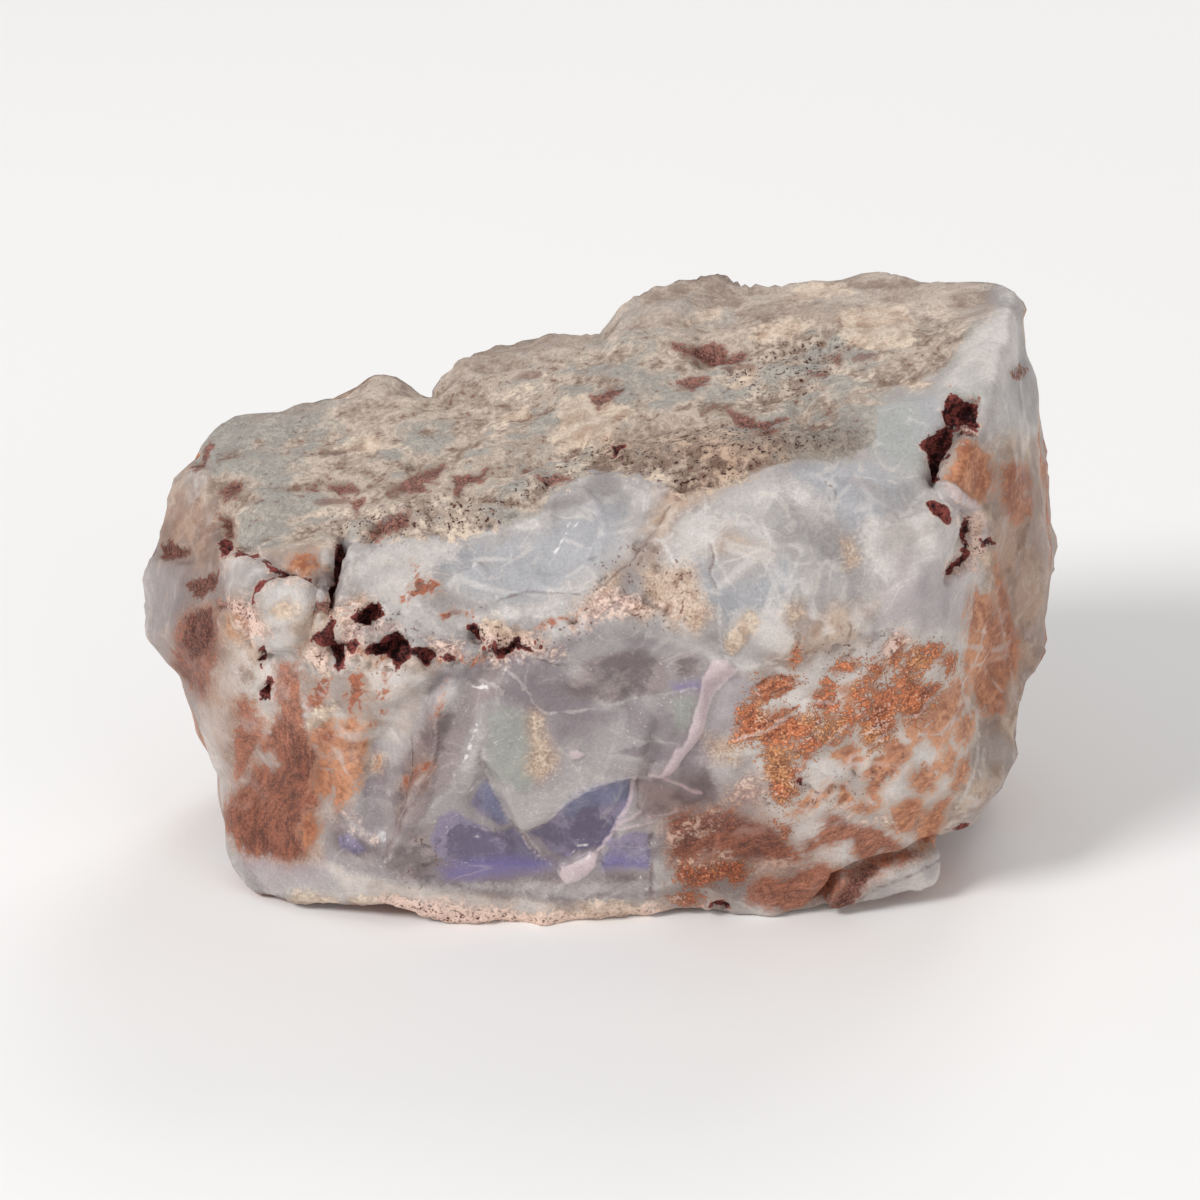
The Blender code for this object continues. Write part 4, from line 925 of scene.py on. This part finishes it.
def unseen_depths(points, normals):
    """The same layers where the photo can't see: blots, seams and bands of slow noise."""
    def blots(size, seed, share, slope=2.2):
        return (noise_values(points, (size, size, size * 0.8), seed) - share) * slope

    def threads(size, seed, width, slope=2.0):
        return width - slope * np.abs(lumps(points, size, seed))

    up = normals[:, 2]
    seam = threads(9.0, 41.0, 0.12, 3.0)
    broken = blots(7.5, 12.0, -0.05, 3.0)
    level = points[:, 2] + 1.2 * lumps(points, 11.0, 6.0)
    return {
        "skin": np.maximum(4.0 * (up - 0.62), blots(9.0, 3.0, 0.4, 4.0)),
        "pit": np.minimum(seam - 0.04, blots(1.9, 9.0, 0.24, 1.5)),
        "stain": np.maximum(blots(2.2, 17.0, 0.56, 1.5), seam - 0.34),
        "rust": np.maximum(blots(6.0, 23.0, 0.22), seam - 0.8),
        "brown": blots(8.0, 29.0, 0.2, 2.5),
        "ochre": blots(3.5, 33.0, 0.38),
        "cream": np.maximum(blots(3.2, 37.0, 0.56), 0.02 - np.abs(seam + 0.2)),
        "clear": broken,
        "violet": np.minimum(0.5 - np.abs(level - 4.0), broken - 0.2),
        "green": np.minimum(blots(5.0, 43.0, 0.2), broken - 0.4),
        "blue": blots(5.0, 47.0, 0.15),
        "pale": blots(3.0, 51.0, 0.22, 1.6),
        "lavender": blots(5.5, 55.0, 0.25),
        "pink": threads(8.0, 59.0, 0.03),
        "white": threads(3.6, 63.0, 0.03),
        "pores": blots(5.0, 67.0, 0.25),
        "dusk": np.minimum(blots(4.5, 71.0, 0.1), broken),
        "tan": blots(7.0, 75.0, 0.0),
        "peach": np.minimum(seam + 0.04, blots(2.5, 77.0, 0.22)),
        "crack": threads(5.0, 81.0, 0.02),
        "wash": np.maximum(blots(5.0, 91.0, 0.2), blots(6.0, 23.0, 0.12)),
        # Slow darker blots on the unseen sides, in the layer whose marks paint shade
        "dim": blots(8.0, 93.0, 0.0, 1.5),
        # Painted highlights: thin glint lines on the unseen sides
        "glint": threads(4.0, 95.0, -0.02),
        "haze": blots(12.0, 99.0, 0.1, 1.5),
        "deep": np.minimum(blots(4.0, 101.0, 0.25), broken - 0.3),
        "fleck": blots(1.6, 107.0, 0.42, 1.5),
    }


def share_shown(points, normals):
    """1 where the photo shows the surface, falling to 0 where it turns away."""
    to_eye = MIDDLE + EYE_DISTANCE * TO_EYE - points
    to_eye /= np.linalg.norm(to_eye, axis=1)[:, None]
    return smooth_step(0.0, 0.15, (to_eye * normals).sum(axis=1))


def layer_depths(points, normals, shown):
    """Each layer's marks with crumbly borders, and slow noise where the photo can't see."""
    wander = 1.8 * noise_moves(points, 0.8, 73.0)[:, :2] + 1.5 * noise_moves(points, 0.35, 79.0)[:, :2]
    marked = mark_depths(photo_place(points) + wander)
    crumbling = lumps(points, 0.7, 85.0) + 0.8 * lumps(points, 0.35, 87.0)
    marked["pit"] += 0.08 * crumbling
    guessed = unseen_depths(points, normals)
    mixed = {}
    for layer, depth in marked.items():
        nearby, hidden = (np.clip(d, -DEEPEST_MARK, DEEPEST_MARK) for d in (depth, guessed[layer]))
        mixed[layer] = shown * nearby + (1 - shown) * hidden
    return mixed


def scallops(points, gap, seed):
    """Shell-like bowls about gap millimetres across: height, own tone and way to the next ridge."""
    chance = np.random.RandomState(seed)
    low, high = points.min(axis=0) - gap, points.max(axis=0) + gap
    steps = [np.arange(a, b, gap) for a, b in zip(low, high)]
    middles = np.stack(np.meshgrid(*steps, indexing="ij"), axis=-1).reshape(-1, 3)
    middles += chance.uniform(-0.5, 0.5, middles.shape) * gap
    tilts = chance.uniform(-0.9, 0.9, middles.shape)
    lifts, tones = chance.uniform(0.0, 0.35, len(middles)), chance.uniform(-1.0, 1.0, len(middles))
    tree = KDTree(len(middles))
    for k, middle in enumerate(middles):
        tree.insert(middle, k)
    tree.balance()
    nearest = np.array([[found[1] for found in tree.find_n(point, 5)] for point in points])
    away = (points[:, None, :] - middles[nearest]) / gap
    bowls = (away ** 2).sum(axis=2) + (away * tilts[nearest]).sum(axis=2) + lifts[nearest]
    chosen, ordered = bowls.argmin(axis=1), np.sort(bowls, axis=1)
    rows = np.arange(len(points))
    return ordered[:, 0], tones[nearest[rows, chosen]], (ordered[:, 1] - ordered[:, 0]) * gap / 2


def drawn_out(points):
    """Places across and along the fibres, which stand steeper at the left end."""
    lean = np.radians(24 + 34 * smooth_step(-8, 8, points[:, 0]))
    bent = points - MIDDLE + 0.7 * noise_moves(points, 2.4, 141.0) + 0.2 * noise_moves(points, 0.8, 143.0)
    across = bent[:, 0] * np.cos(lean) - bent[:, 2] * np.sin(lean)
    along = bent[:, 0] * np.sin(lean) + bent[:, 2] * np.cos(lean)
    return np.stack([across, bent[:, 1], along], axis=1) / FIBRE


def surface_noise(points):
    """Slow noise that the finish shares with the relief, each from about -1 to 1."""
    streaks = noise_values(points, (3.2, 1.5, 0.8), 131.0)
    return {
        "cloud": lumps(points, 2.6, 111.0) + 0.55 * lumps(points, 1.25, 113.0),
        "blot": lumps(points, 6.0, 117.0) + 0.4 * lumps(points, 2.8, 119.0),
        "mottle": lumps(points, 0.9, 121.0) + 0.6 * lumps(points, 0.45, 123.0),
        "net": np.abs(lumps(points, 1.9, 127.0) + 0.35 * lumps(points, 0.7, 129.0)),
        "flow": streaks + 0.5 * noise_values(points, (1.4, 0.8, 0.4), 133.0),
    }


def fine_relief(points, layers, slow, shown):
    """The small pits, grains and steps of each layer, in millimetres out from the surface."""
    inside = {name: smooth_step(-0.06, 0.12, depth) for name, depth in layers.items()}
    bare = 1 - inside["skin"]
    seen = 0.3 + 0.7 * shown
    crumb, grain = lumps(points, 0.6, 89.0) * seen, lumps(points, 0.33, 97.0) * seen
    small_bowls, small_tone, small_ridge = scallops(points, SMALL_SCALLOP, 5)
    large_bowls, large_tone, large_ridge = scallops(points, LARGE_SCALLOP, 8)

    clear = smooth_step(-0.2, 0.6, layers["clear"])
    chipped = bare * (1 - clear) * (0.35 + 0.65 * inside["rust"])
    relief = 0.30 * chipped * small_bowls + bare * 0.32 * large_bowls
    relief += bare * (0.03 * slow["cloud"] + 0.012 * grain)
    relief += inside["rust"] * bare * (0.05 * crumb + 0.05 * grain)

    flakes = slow["mottle"] + 0.8 * slow["flow"]
    steps = np.floor(flakes * 3.0) / 3.0 + smooth_step(0.55, 1.0, flakes * 3.0 % 1.0) / 3.0
    streaked = (0.08 * slow["flow"] + 0.06 * steps) * seen
    relief += inside["skin"] * (0.10 + streaked + 0.05 * crumb + 0.03 * grain)

    pit = smooth_step(-0.02, 0.28, layers["pit"])
    pit_edge = smooth_step(-0.5, -0.05, layers["pit"]) * (1 - pit)
    relief += pit * (-0.36 - 0.4 * crumb - 0.3 * grain) + pit_edge * (0.10 * crumb + 0.09 * grain)
    pinholes = smooth_step(0.26, 0.42, lumps(points, 0.5, 103.0)) * smooth_step(-0.1, 0.2, layers["pores"])
    relief -= 0.22 * pinholes
    relief += inside["cream"] * bare * (0.08 + 0.06 * crumb)
    relief += 0.08 * smooth_step(-0.1, 0.06, layers["pink"])
    relief -= 0.06 * smooth_step(-0.09, 0.02, layers["crack"])
    relief += inside["peach"] * (0.05 * crumb + 0.06 * grain) - 0.06 * inside["stain"] * (1 + crumb)
    slow["tone"] = small_tone * (1 - clear) * 0.6 + large_tone
    slow["ridge"] = np.minimum(small_ridge + clear, large_ridge)
    return relief


def build_stone():
    directions, triangles = fine_sphere()
    points = fractured_block(directions)
    points += 0.55 * noise_moves(points, 7.5, 3.1) + 0.16 * noise_moves(points, 2.8, 11.7)
    points = drawn_to_outline(points)
    normals = vertex_normals(points, triangles)
    shown = share_shown(points, normals)
    points += surface_relief(points, normals)[:, None] * normals
    points = drawn_to_outline(points)
    normals = vertex_normals(points, triangles)
    layers = layer_depths(points, normals, shown)
    slow, drawn = surface_noise(points), drawn_out(points)
    points += fine_relief(points, layers, slow, shown)[:, None] * normals
    points[:, 2] = np.maximum(points[:, 2], FLAT_SPOT_LEVEL)
    points += SETTLED

    mesh = bpy.data.meshes.new("opal_stone")
    mesh.from_pydata((points * MM).tolist(), [], triangles.tolist())
    mesh.shade_smooth()
    for name, depth in (layers | slow).items():
        held = mesh.attributes.new(name, "FLOAT", "POINT")
        held.data.foreach_set("value", depth.astype(np.float32))
    held = mesh.attributes.new("drawn", "FLOAT_VECTOR", "POINT")
    held.data.foreach_set("vector", drawn.astype(np.float32).ravel())
    stone = bpy.data.objects.new("opal_stone", mesh)
    bpy.context.scene.collection.objects.link(stone)
    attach(stone, "root")
    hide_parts("rough_opal")
    return stone


class Value:
    """A number over the surface. Sums and products of it add Math nodes."""

    def __init__(self, finish, socket):
        self.finish, self.socket = finish, socket

    def maths(self, operation, first, second):
        return self.finish.node("ShaderNodeMath", {"operation": operation}, {0: first, 1: second})

    def __add__(self, other):
        return self.maths("ADD", self, other)

    def __radd__(self, other):
        return self.maths("ADD", other, self)

    def __sub__(self, other):
        return self.maths("SUBTRACT", self, other)

    def __rsub__(self, other):
        return self.maths("SUBTRACT", other, self)

    def __mul__(self, other):
        return self.maths("MULTIPLY", self, other)

    def __rmul__(self, other):
        return self.maths("MULTIPLY", other, self)


def colour(red, green, blue):
    """A colour as the eye names it, 0 to 255, turned into the amount of light it gives back."""
    parts = [c / 255 for c in (red, green, blue)]
    return tuple(c / 12.92 if c < 0.04045 else ((c + 0.055) / 1.055) ** 2.4 for c in parts) + (1.0,)


class Finish:
    """A material whose nodes are added one at a time."""

    def __init__(self, name):
        self.material = bpy.data.materials.new(name)
        self.material.use_nodes = True
        self.tree = self.material.node_tree
        self.tree.nodes.clear()

    def node(self, kind, settings=None, values=None, output=0):
        made = self.tree.nodes.new(kind)
        for name, setting in (settings or {}).items():
            setattr(made, name, setting)
        for name, value in (values or {}).items():
            if isinstance(value, Value):
                self.tree.links.new(value.socket, made.inputs[name])
            else:
                made.inputs[name].default_value = value
        return Value(self, made.outputs[output]) if made.outputs else None

    def blend(self, below, above, share, how="MIX"):
        settings = {"data_type": "RGBA", "blend_type": how}
        return self.node("ShaderNodeMix", settings, {0: share, 6: below, 7: above}, 2)

    def ramp(self, value, low, high, start=0.0, end=1.0):
        values = {"Value": value, "From Min": low, "From Max": high, "To Min": start, "To Max": end}
        return self.node("ShaderNodeMapRange", {"interpolation_type": "SMOOTHSTEP"}, values)

    def more(self, first, second):
        return self.node("ShaderNodeMath", {"operation": "MAXIMUM"}, {0: first, 1: second})

    def apart(self, value):
        return self.node("ShaderNodeMath", {"operation": "ABSOLUTE"}, {0: value})

    def speckle(self, place, size, detail=2.0, roughness=0.5, distortion=0.0):
        values = {"Vector": place, "Scale": 1 / size, "Detail": detail, "Roughness": roughness,
                  "Distortion": distortion}
        return self.node("ShaderNodeTexNoise", {}, values)

    def layer(self, name, output="Fac"):
        return self.node("ShaderNodeAttribute", {"attribute_type": "GEOMETRY", "attribute_name": name},
                         output=output)


def opal_finish():
    f = Finish("opal_under_weathered_skin")
    metres = f.node("ShaderNodeTexCoord", output="Object")
    place = f.node("ShaderNodeVectorMath", {"operation": "SCALE"}, {0: metres, "Scale": 1 / MM})
    slow = ("cloud", "blot", "mottle", "net", "flow", "tone")
    cloud, blot, mottle, net, flow, tone = (f.layer(name) for name in slow)
    grain = f.speckle(place, GRAIN, 1.0)
    dust = f.speckle(place, DUST, 0.0)
    crumbs = f.speckle(place, CRUMB, 4.0, 0.66)

    ragged = (crumbs - 0.5) * 0.7 + (grain - 0.5) * 0.45 + (dust - 0.5) * 0.15
    slight = (crumbs - 0.5) * 0.25 + (grain - 0.5) * 0.12

    def mask(name, wander, outside, inside):
        return f.ramp(f.layer(name) + wander, -outside, inside)

    def tint(name):
        return colour(*TINTS[name])

    def two(name, value, low=0.38, high=0.62):
        dark, light = TINTS[name]
        return f.blend(colour(*dark), colour(*light), f.ramp(value, low, high))

    skin = mask("skin", ragged * 1.6 + cloud * 0.35, 0.14, 0.14)
    pit = mask("pit", ragged * 0.6 + 0.03, 0.04, 0.04)
    peach = mask("peach", ragged * 1.5 + cloud * 0.3, 0.3, 0.4)
    pit_rim = mask("pit", ragged, 0.2, 0.04) * (0.55 + peach * 0.45)
    stain = mask("stain", ragged * 1.2 + 0.05, 0.14, 0.1)
    cream = mask("cream", ragged, 0.2, 0.15)
    # Painted shade: where the darkening layer's marks lie, the colour is darkened as if shaded
    dim = mask("dim", slight, 1.0, 0.8)
    crumbly = peach * f.ramp(grain + crumbs, 1.04, 1.14)
    earthy = f.more(f.more(f.more(skin, cream), f.more(stain, crumbly)), f.more(pit_rim, pit))

    # The milky opal that most of the broken face is, with a tan wash
    body = two("milky", cloud * 0.8 + tone * 0.5 + mottle * 0.3, -0.8, 0.6)
    tan = mask("tan", ragged, 0.9, 0.4)
    body = f.blend(body, two("tan", crumbs + cloud * 0.2),
                   tan * f.ramp(cloud - mottle * 0.6, -0.7, 0.5, 0.4, 0.9))
    body = f.blend(body, tint("milky blue"), mask("blue", slight, 0.7, 0.4) * 0.6)
    body = f.blend(body, tint("milky green"), mask("green", slight, 0.7, 0.4) * 0.5)
    # Pale patches: the opal's own milky white, and painted light on the flake, the low rim and the hollow
    # beside the right crevice
    body = f.blend(body, tint("milky white"),
                   mask("pale", ragged, 0.35, 0.35) * f.ramp(cloud + mottle * 0.4, -0.6, 0.4, 0.35, 0.85))
    # Dusky facets: the opal's own darker tone, and painted shade by the knobs and along the fold
    dusk = two("dusk", cloud * 0.3 + crumbs + tone * 0.12)
    body = f.blend(body, dusk, mask("dusk", slight, 0.25, 0.25) * 0.6)
    body = f.blend(body, tint("milky violet"), mask("violet", slight, 0.3, 0.3) * 0.6)

    # The clearer opal low on the face, with its dusky facets and its green and violet lights
    clear = mask("clear", slight, 0.3, 0.2)
    depth = two("clear", cloud + tone * 0.5 + mottle * 0.3, -0.7, 0.7)
    depth = f.blend(depth, tint("clear green"), mask("green", slight, 0.5, 0.4) * 0.7)
    # The dusky facets again, painted shade among them
    depth = f.blend(depth, dusk, mask("dusk", slight, 0.2, 0.25) * 0.85)
    deep = two("deep", cloud * 0.2 + crumbs + tone * 0.1)
    depth = f.blend(depth, deep, mask("deep", slight * 0.7, 0.1, 0.14) * 0.88)
    depth = f.blend(depth, tint("clear blue"), mask("blue", slight, 0.25, 0.25) * 0.7)
    depth = f.blend(depth, tint("clear white"), mask("pale", ragged * 0.6, 0.25, 0.2) * 0.7)
    depth = f.blend(depth, tint("clear violet"), mask("violet", slight, 0.3, 0.35) * 0.65)
    body = f.blend(body, depth, clear)
    body = f.blend(body, tint("lavender"), mask("lavender", slight, 0.6, 0.4) * 0.6)
    bands = f.speckle(place, BAND, 3.0, 0.55, 0.9) - 0.5
    veins = f.ramp(f.apart(bands), 0.022, 0.0)
    body = f.blend(body, tint("vein"),
                   veins * f.ramp(cloud + mottle, -0.5, 0.5, 0.2, 1.0) * (0.42 - clear * 0.2))
    body = f.blend(body, tint("darker band"), f.ramp(bands, 0.06, 0.16) * 0.35 * (1 - clear))

    # Brown, fibrous opal, the orange wash that runs along its fibres and the iron crust over it
    fibres = f.speckle(f.layer("drawn", "Vector"), 1.0, 3.0, 0.6)
    crust = crumbs * 0.32 + grain * 0.26 + dust * 0.42
    warm = two("brown", fibres * 0.55 + crumbs * 0.25 + dust * 0.2 + cloud * 0.08, 0.34, 0.66)
    warm = f.blend(warm, tint("grey fibres"),
                   f.ramp(cloud + mottle * 0.5 + (fibres - 0.5), 0.25, 0.95) * 0.5)
    strands = f.layer("brown") + ragged * 0.7 + (fibres - 0.5) * 0.9
    brown = f.ramp(strands, -0.12, 0.26)
    body = f.blend(body, two("brown edge", crust), f.ramp(strands, -0.45, 0.05) * 0.5)
    body = f.blend(body, warm, brown * 0.95)
    washed = f.layer("wash") + ragged * 0.5 + (fibres - 0.5) * 0.7 + 0.11
    stained = two("wash", fibres * 0.4 + grain * 0.3 + crumbs * 0.3 + cloud * 0.1)
    body = f.blend(body, tint("wash edge"), f.ramp(washed, -0.35, 0.0) * 0.45)
    body = f.blend(body, stained, f.ramp(washed + (crust - 0.5) * 0.8, -0.1, 0.2) * 0.88)
    rusty = f.layer("rust") + ragged * 1.1 + (fibres - 0.5) * 0.6 + mottle * 0.06 + 0.04
    body = f.blend(body, two("rust edge", crust), f.ramp(rusty, -0.2, 0.12) * 0.75)
    iron = two("rust", crust * 0.6 + fibres * 0.4, 0.38, 0.58)
    iron = f.blend(iron, two("yellow rust", crust),
                   f.ramp(mottle + tone * 0.4 + (fibres - 0.5), 0.1, 0.6) * 0.75)
    iron = f.blend(iron, tint("rust grain"), f.ramp(grain * 0.4 + dust * 0.6, 0.6, 0.72) * 0.5)
    rust = f.ramp(rusty + (crust - 0.5) * 2.6, -0.02, 0.24)
    body = f.blend(body, iron, rust * 0.9)
    body = f.blend(body, tint("rust net"),
                   f.ramp(net - (crust - 0.5) * 0.8, 0.02, -0.03) * f.ramp(rusty, -0.3, 0.3) * 0.55)
    flecks = f.layer("fleck") + ragged * 0.9 + (fibres - 0.5) * 1.2
    body = f.blend(body, tint("fleck edge"), f.ramp(flecks, -0.2, 0.05) * 0.5)
    body = f.blend(body, two("fleck", crust * 0.6 + fibres * 0.4), f.ramp(flecks, -0.02, 0.12) * 0.85)
    body = f.blend(body, two("ochre", crust), mask("ochre", ragged, 0.6, 0.3) * 0.62)
    body = f.blend(body, two("peach", crust), peach * 0.5)
    body = f.blend(body, tint("pink"), mask("pink", slight * 0.3, 0.05, 0.06) * 0.75)
    body = f.blend(body, tint("white thread"), mask("white", slight, 0.06, 0.04) * (1 - brown) * 0.4)
    ridge_line = f.ramp(f.layer("ridge") + slight * 0.4, 0.13, 0.03) * f.ramp(cloud + mottle, -0.3, 0.6)
    body = f.blend(body, tint("ridge"), ridge_line * (1 - f.more(rust, brown)) * (0.5 - clear * 0.3))
    # Painted highlights: tiny bright specks over the clearer opal, and the glint lines
    painted_glint_specks = f.ramp(dust * 0.7 + grain * 0.3, 0.66, 0.74) * f.ramp(cloud - mottle, 0.0, 0.8)
    painted_glint_specks = painted_glint_specks * clear * 0.45
    body = f.blend(body, tint("glint"), f.more(mask("glint", slight, 0.03, 0.03) * 0.8, painted_glint_specks))
    body = f.blend(body, tint("crack"), mask("crack", slight, 0.06, 0.05) * 0.6)
    specks = f.ramp(grain * 0.65 + dust * 0.35, 0.385, 0.33)
    body = f.blend(body, tint("pore"), specks * mask("pores", ragged, 0.3, 0.2) * 0.8)
    # Painted shade over the opal
    body = f.blend(body, tint("opal painted shade"), dim * 0.9, "MULTIPLY")
    body = f.blend(body, 0.64 + crumbs * 0.22 + grain * 0.2 + dust * 0.3, 1.0, "MULTIPLY")

    # The weathered skin, its crumbs, its maroon stains, a painted shadow along the flake's cut and the clay
    # in its pits
    pored = mask("pores", ragged, 0.5, 0.4)
    weather = crumbs * 0.6 + grain * 0.2 + flow * 0.12 + mottle * 0.06
    hide = two("skin", weather, 0.24, 0.46)
    hide = f.blend(hide, tint("skin crumb"),
                   f.ramp(weather + cloud * 0.12 + pored * 0.06, 0.46, 0.6) * 0.85)
    hide = f.blend(hide, tint("skin grey"), f.ramp(blot + mottle * 0.5 + flow * 0.5, 0.0, 0.5) * 0.7)
    hide = f.blend(hide, tint("skin maroon"), f.ramp(flow - blot * 0.5 + ragged, 0.65, 0.85) * 0.65)
    crevice = f.ramp(f.apart(crumbs - 0.5 + (grain - 0.5) * 0.5), 0.035, 0.0)
    hide = f.blend(hide, tint("skin crevice"), crevice * (0.3 + pored * 0.2))
    hide = f.blend(hide, tint("skin hollow"),
                   f.ramp(grain * 0.5 + crumbs * 0.5 + mottle * 0.05, 0.42, 0.34) * 0.5)
    haze = two("haze", cloud * 0.4 + crumbs * 0.3 + flow * 0.2 + 0.35)
    hide = f.blend(hide, haze, mask("haze", ragged, 0.5, 0.6) * 0.55)
    hide = f.blend(hide, two("cream", crumbs), cream * 0.58)
    # The stain marks are the skin's maroon stains, save the one along the flake's cut, which is a painted
    # shadow
    hide = f.blend(hide, two("stain", crust), stain * 0.9)
    rim = two("pit rim", crust, 0.3, 0.48)
    hide = f.blend(hide, rim, f.more(mask("pit", ragged, 0.2, 0.04), peach) * (1 - skin * 0.6) * 0.9)
    pinholes = f.ramp(grain * 0.62 + dust * 0.38, 0.415, 0.35)
    hide = f.blend(hide, tint("pinhole"), pinholes * f.more(pored, peach * 0.9) * 0.95)
    # Painted shade over the skin
    hide = f.blend(hide, tint("skin painted shade"), dim * 0.9, "MULTIPLY")
    hide = f.blend(hide, 0.65 + grain * 0.3 + dust * 0.46, 1.0, "MULTIPLY")
    clay = two("clay", crumbs * 0.4 + grain * 0.4 + dust * 0.2, 0.42, 0.62)
    hide = f.blend(hide, clay, pit)

    height = crumbs * 0.14 + grain * 0.06 + dust * 0.02
    rough_bump = f.node("ShaderNodeBump", {}, {"Strength": 1.0, "Distance": MM, "Height": height})
    soft_bump = f.node("ShaderNodeBump", {}, {"Strength": 1.0, "Distance": MM,
                                              "Height": height * (rust * 0.7 + 0.2)})
    opal = f.node("ShaderNodeBsdfPrincipled", {}, {
        "Base Color": body, "Roughness": 0.5 + rust * 0.2 - clear * 0.08 + (crumbs - 0.5) * 0.2,
        "Normal": soft_bump, "IOR": 1.45, "Coat Weight": clear * (1 - rust) * 0.25, "Coat Roughness": 0.22,
        "Subsurface Weight": 0.2, "Subsurface Radius": (1.4, 1.2, 1.1), "Subsurface Scale": MM})
    earth = f.node("ShaderNodeBsdfPrincipled", {}, {
        "Base Color": hide, "Roughness": 0.75 + (grain - 0.5) * 0.2, "Normal": rough_bump, "IOR": 1.5,
        "Specular IOR Level": 0.25})
    mixed = f.node("ShaderNodeMixShader", {}, {0: earthy, 1: opal, 2: earth})
    f.node("ShaderNodeOutputMaterial", {}, {"Surface": mixed})
    return f.material


def plain_finish(name, tint, roughness):
    f = Finish(name)
    surface = f.node("ShaderNodeBsdfPrincipled", {}, {"Base Color": tint, "Roughness": roughness})
    f.node("ShaderNodeOutputMaterial", {}, {"Surface": surface})
    return f.material


def studio():
    scene = bpy.context.scene
    mesh = bpy.data.meshes.new("pale_floor")
    half = 3.0
    mesh.from_pydata([(-half, -half, 0), (half, -half, 0), (half, half, 0), (-half, half, 0)], [],
                     [(0, 1, 2, 3)])
    floor = bpy.data.objects.new("pale_floor", mesh)
    mesh.materials.append(plain_finish("pale_floor", colour(247, 246, 245), 0.8))
    scene.collection.objects.link(floor)

    world = bpy.data.worlds.new("soft_room")
    world.use_nodes = True
    sky = world.node_tree.nodes["Background"]
    sky.inputs["Color"].default_value = (1.0, 1.0, 1.0, 1.0)
    sky.inputs["Strength"].default_value = 0.45
    scene.world = world

    aim = Vector((0.0, 0.0, 0.011))
    # Each lamp's place and width in metres, and its power in watts
    lamps = {
        "high_left": ((-0.34, -0.26, 0.36), 0.16, 1.9),
        "front_right": ((0.34, -0.36, 0.16), 0.34, 0.45),
        "back": ((0.15, 0.40, 0.36), 0.30, 0.7),
    }
    for name, (spot, size, power) in lamps.items():
        lamp = bpy.data.lights.new(name, "AREA")
        lamp.shape, lamp.size, lamp.energy = "DISK", size, power
        holder = bpy.data.objects.new(name, lamp)
        holder.location = spot
        holder.rotation_euler = (aim - Vector(spot)).to_track_quat("-Z", "Y").to_euler()
        scene.collection.objects.link(holder)

    lens = bpy.data.cameras.new("photo_view")
    lens.lens, lens.sensor_width, lens.clip_start = 100.0, 36.0, 0.01
    camera = bpy.data.objects.new("photo_view", lens)
    target = Vector((MIDDLE + SETTLED) * MM)
    camera.location = target + Vector(TO_EYE) * EYE_DISTANCE * MM
    camera.rotation_euler = (target - camera.location).to_track_quat("-Z", "Y").to_euler()
    scene.collection.objects.link(camera)
    scene.camera = camera
    scene.view_settings.view_transform = "Standard"


stone = build_stone()
stone.data.materials.append(opal_finish())
studio()
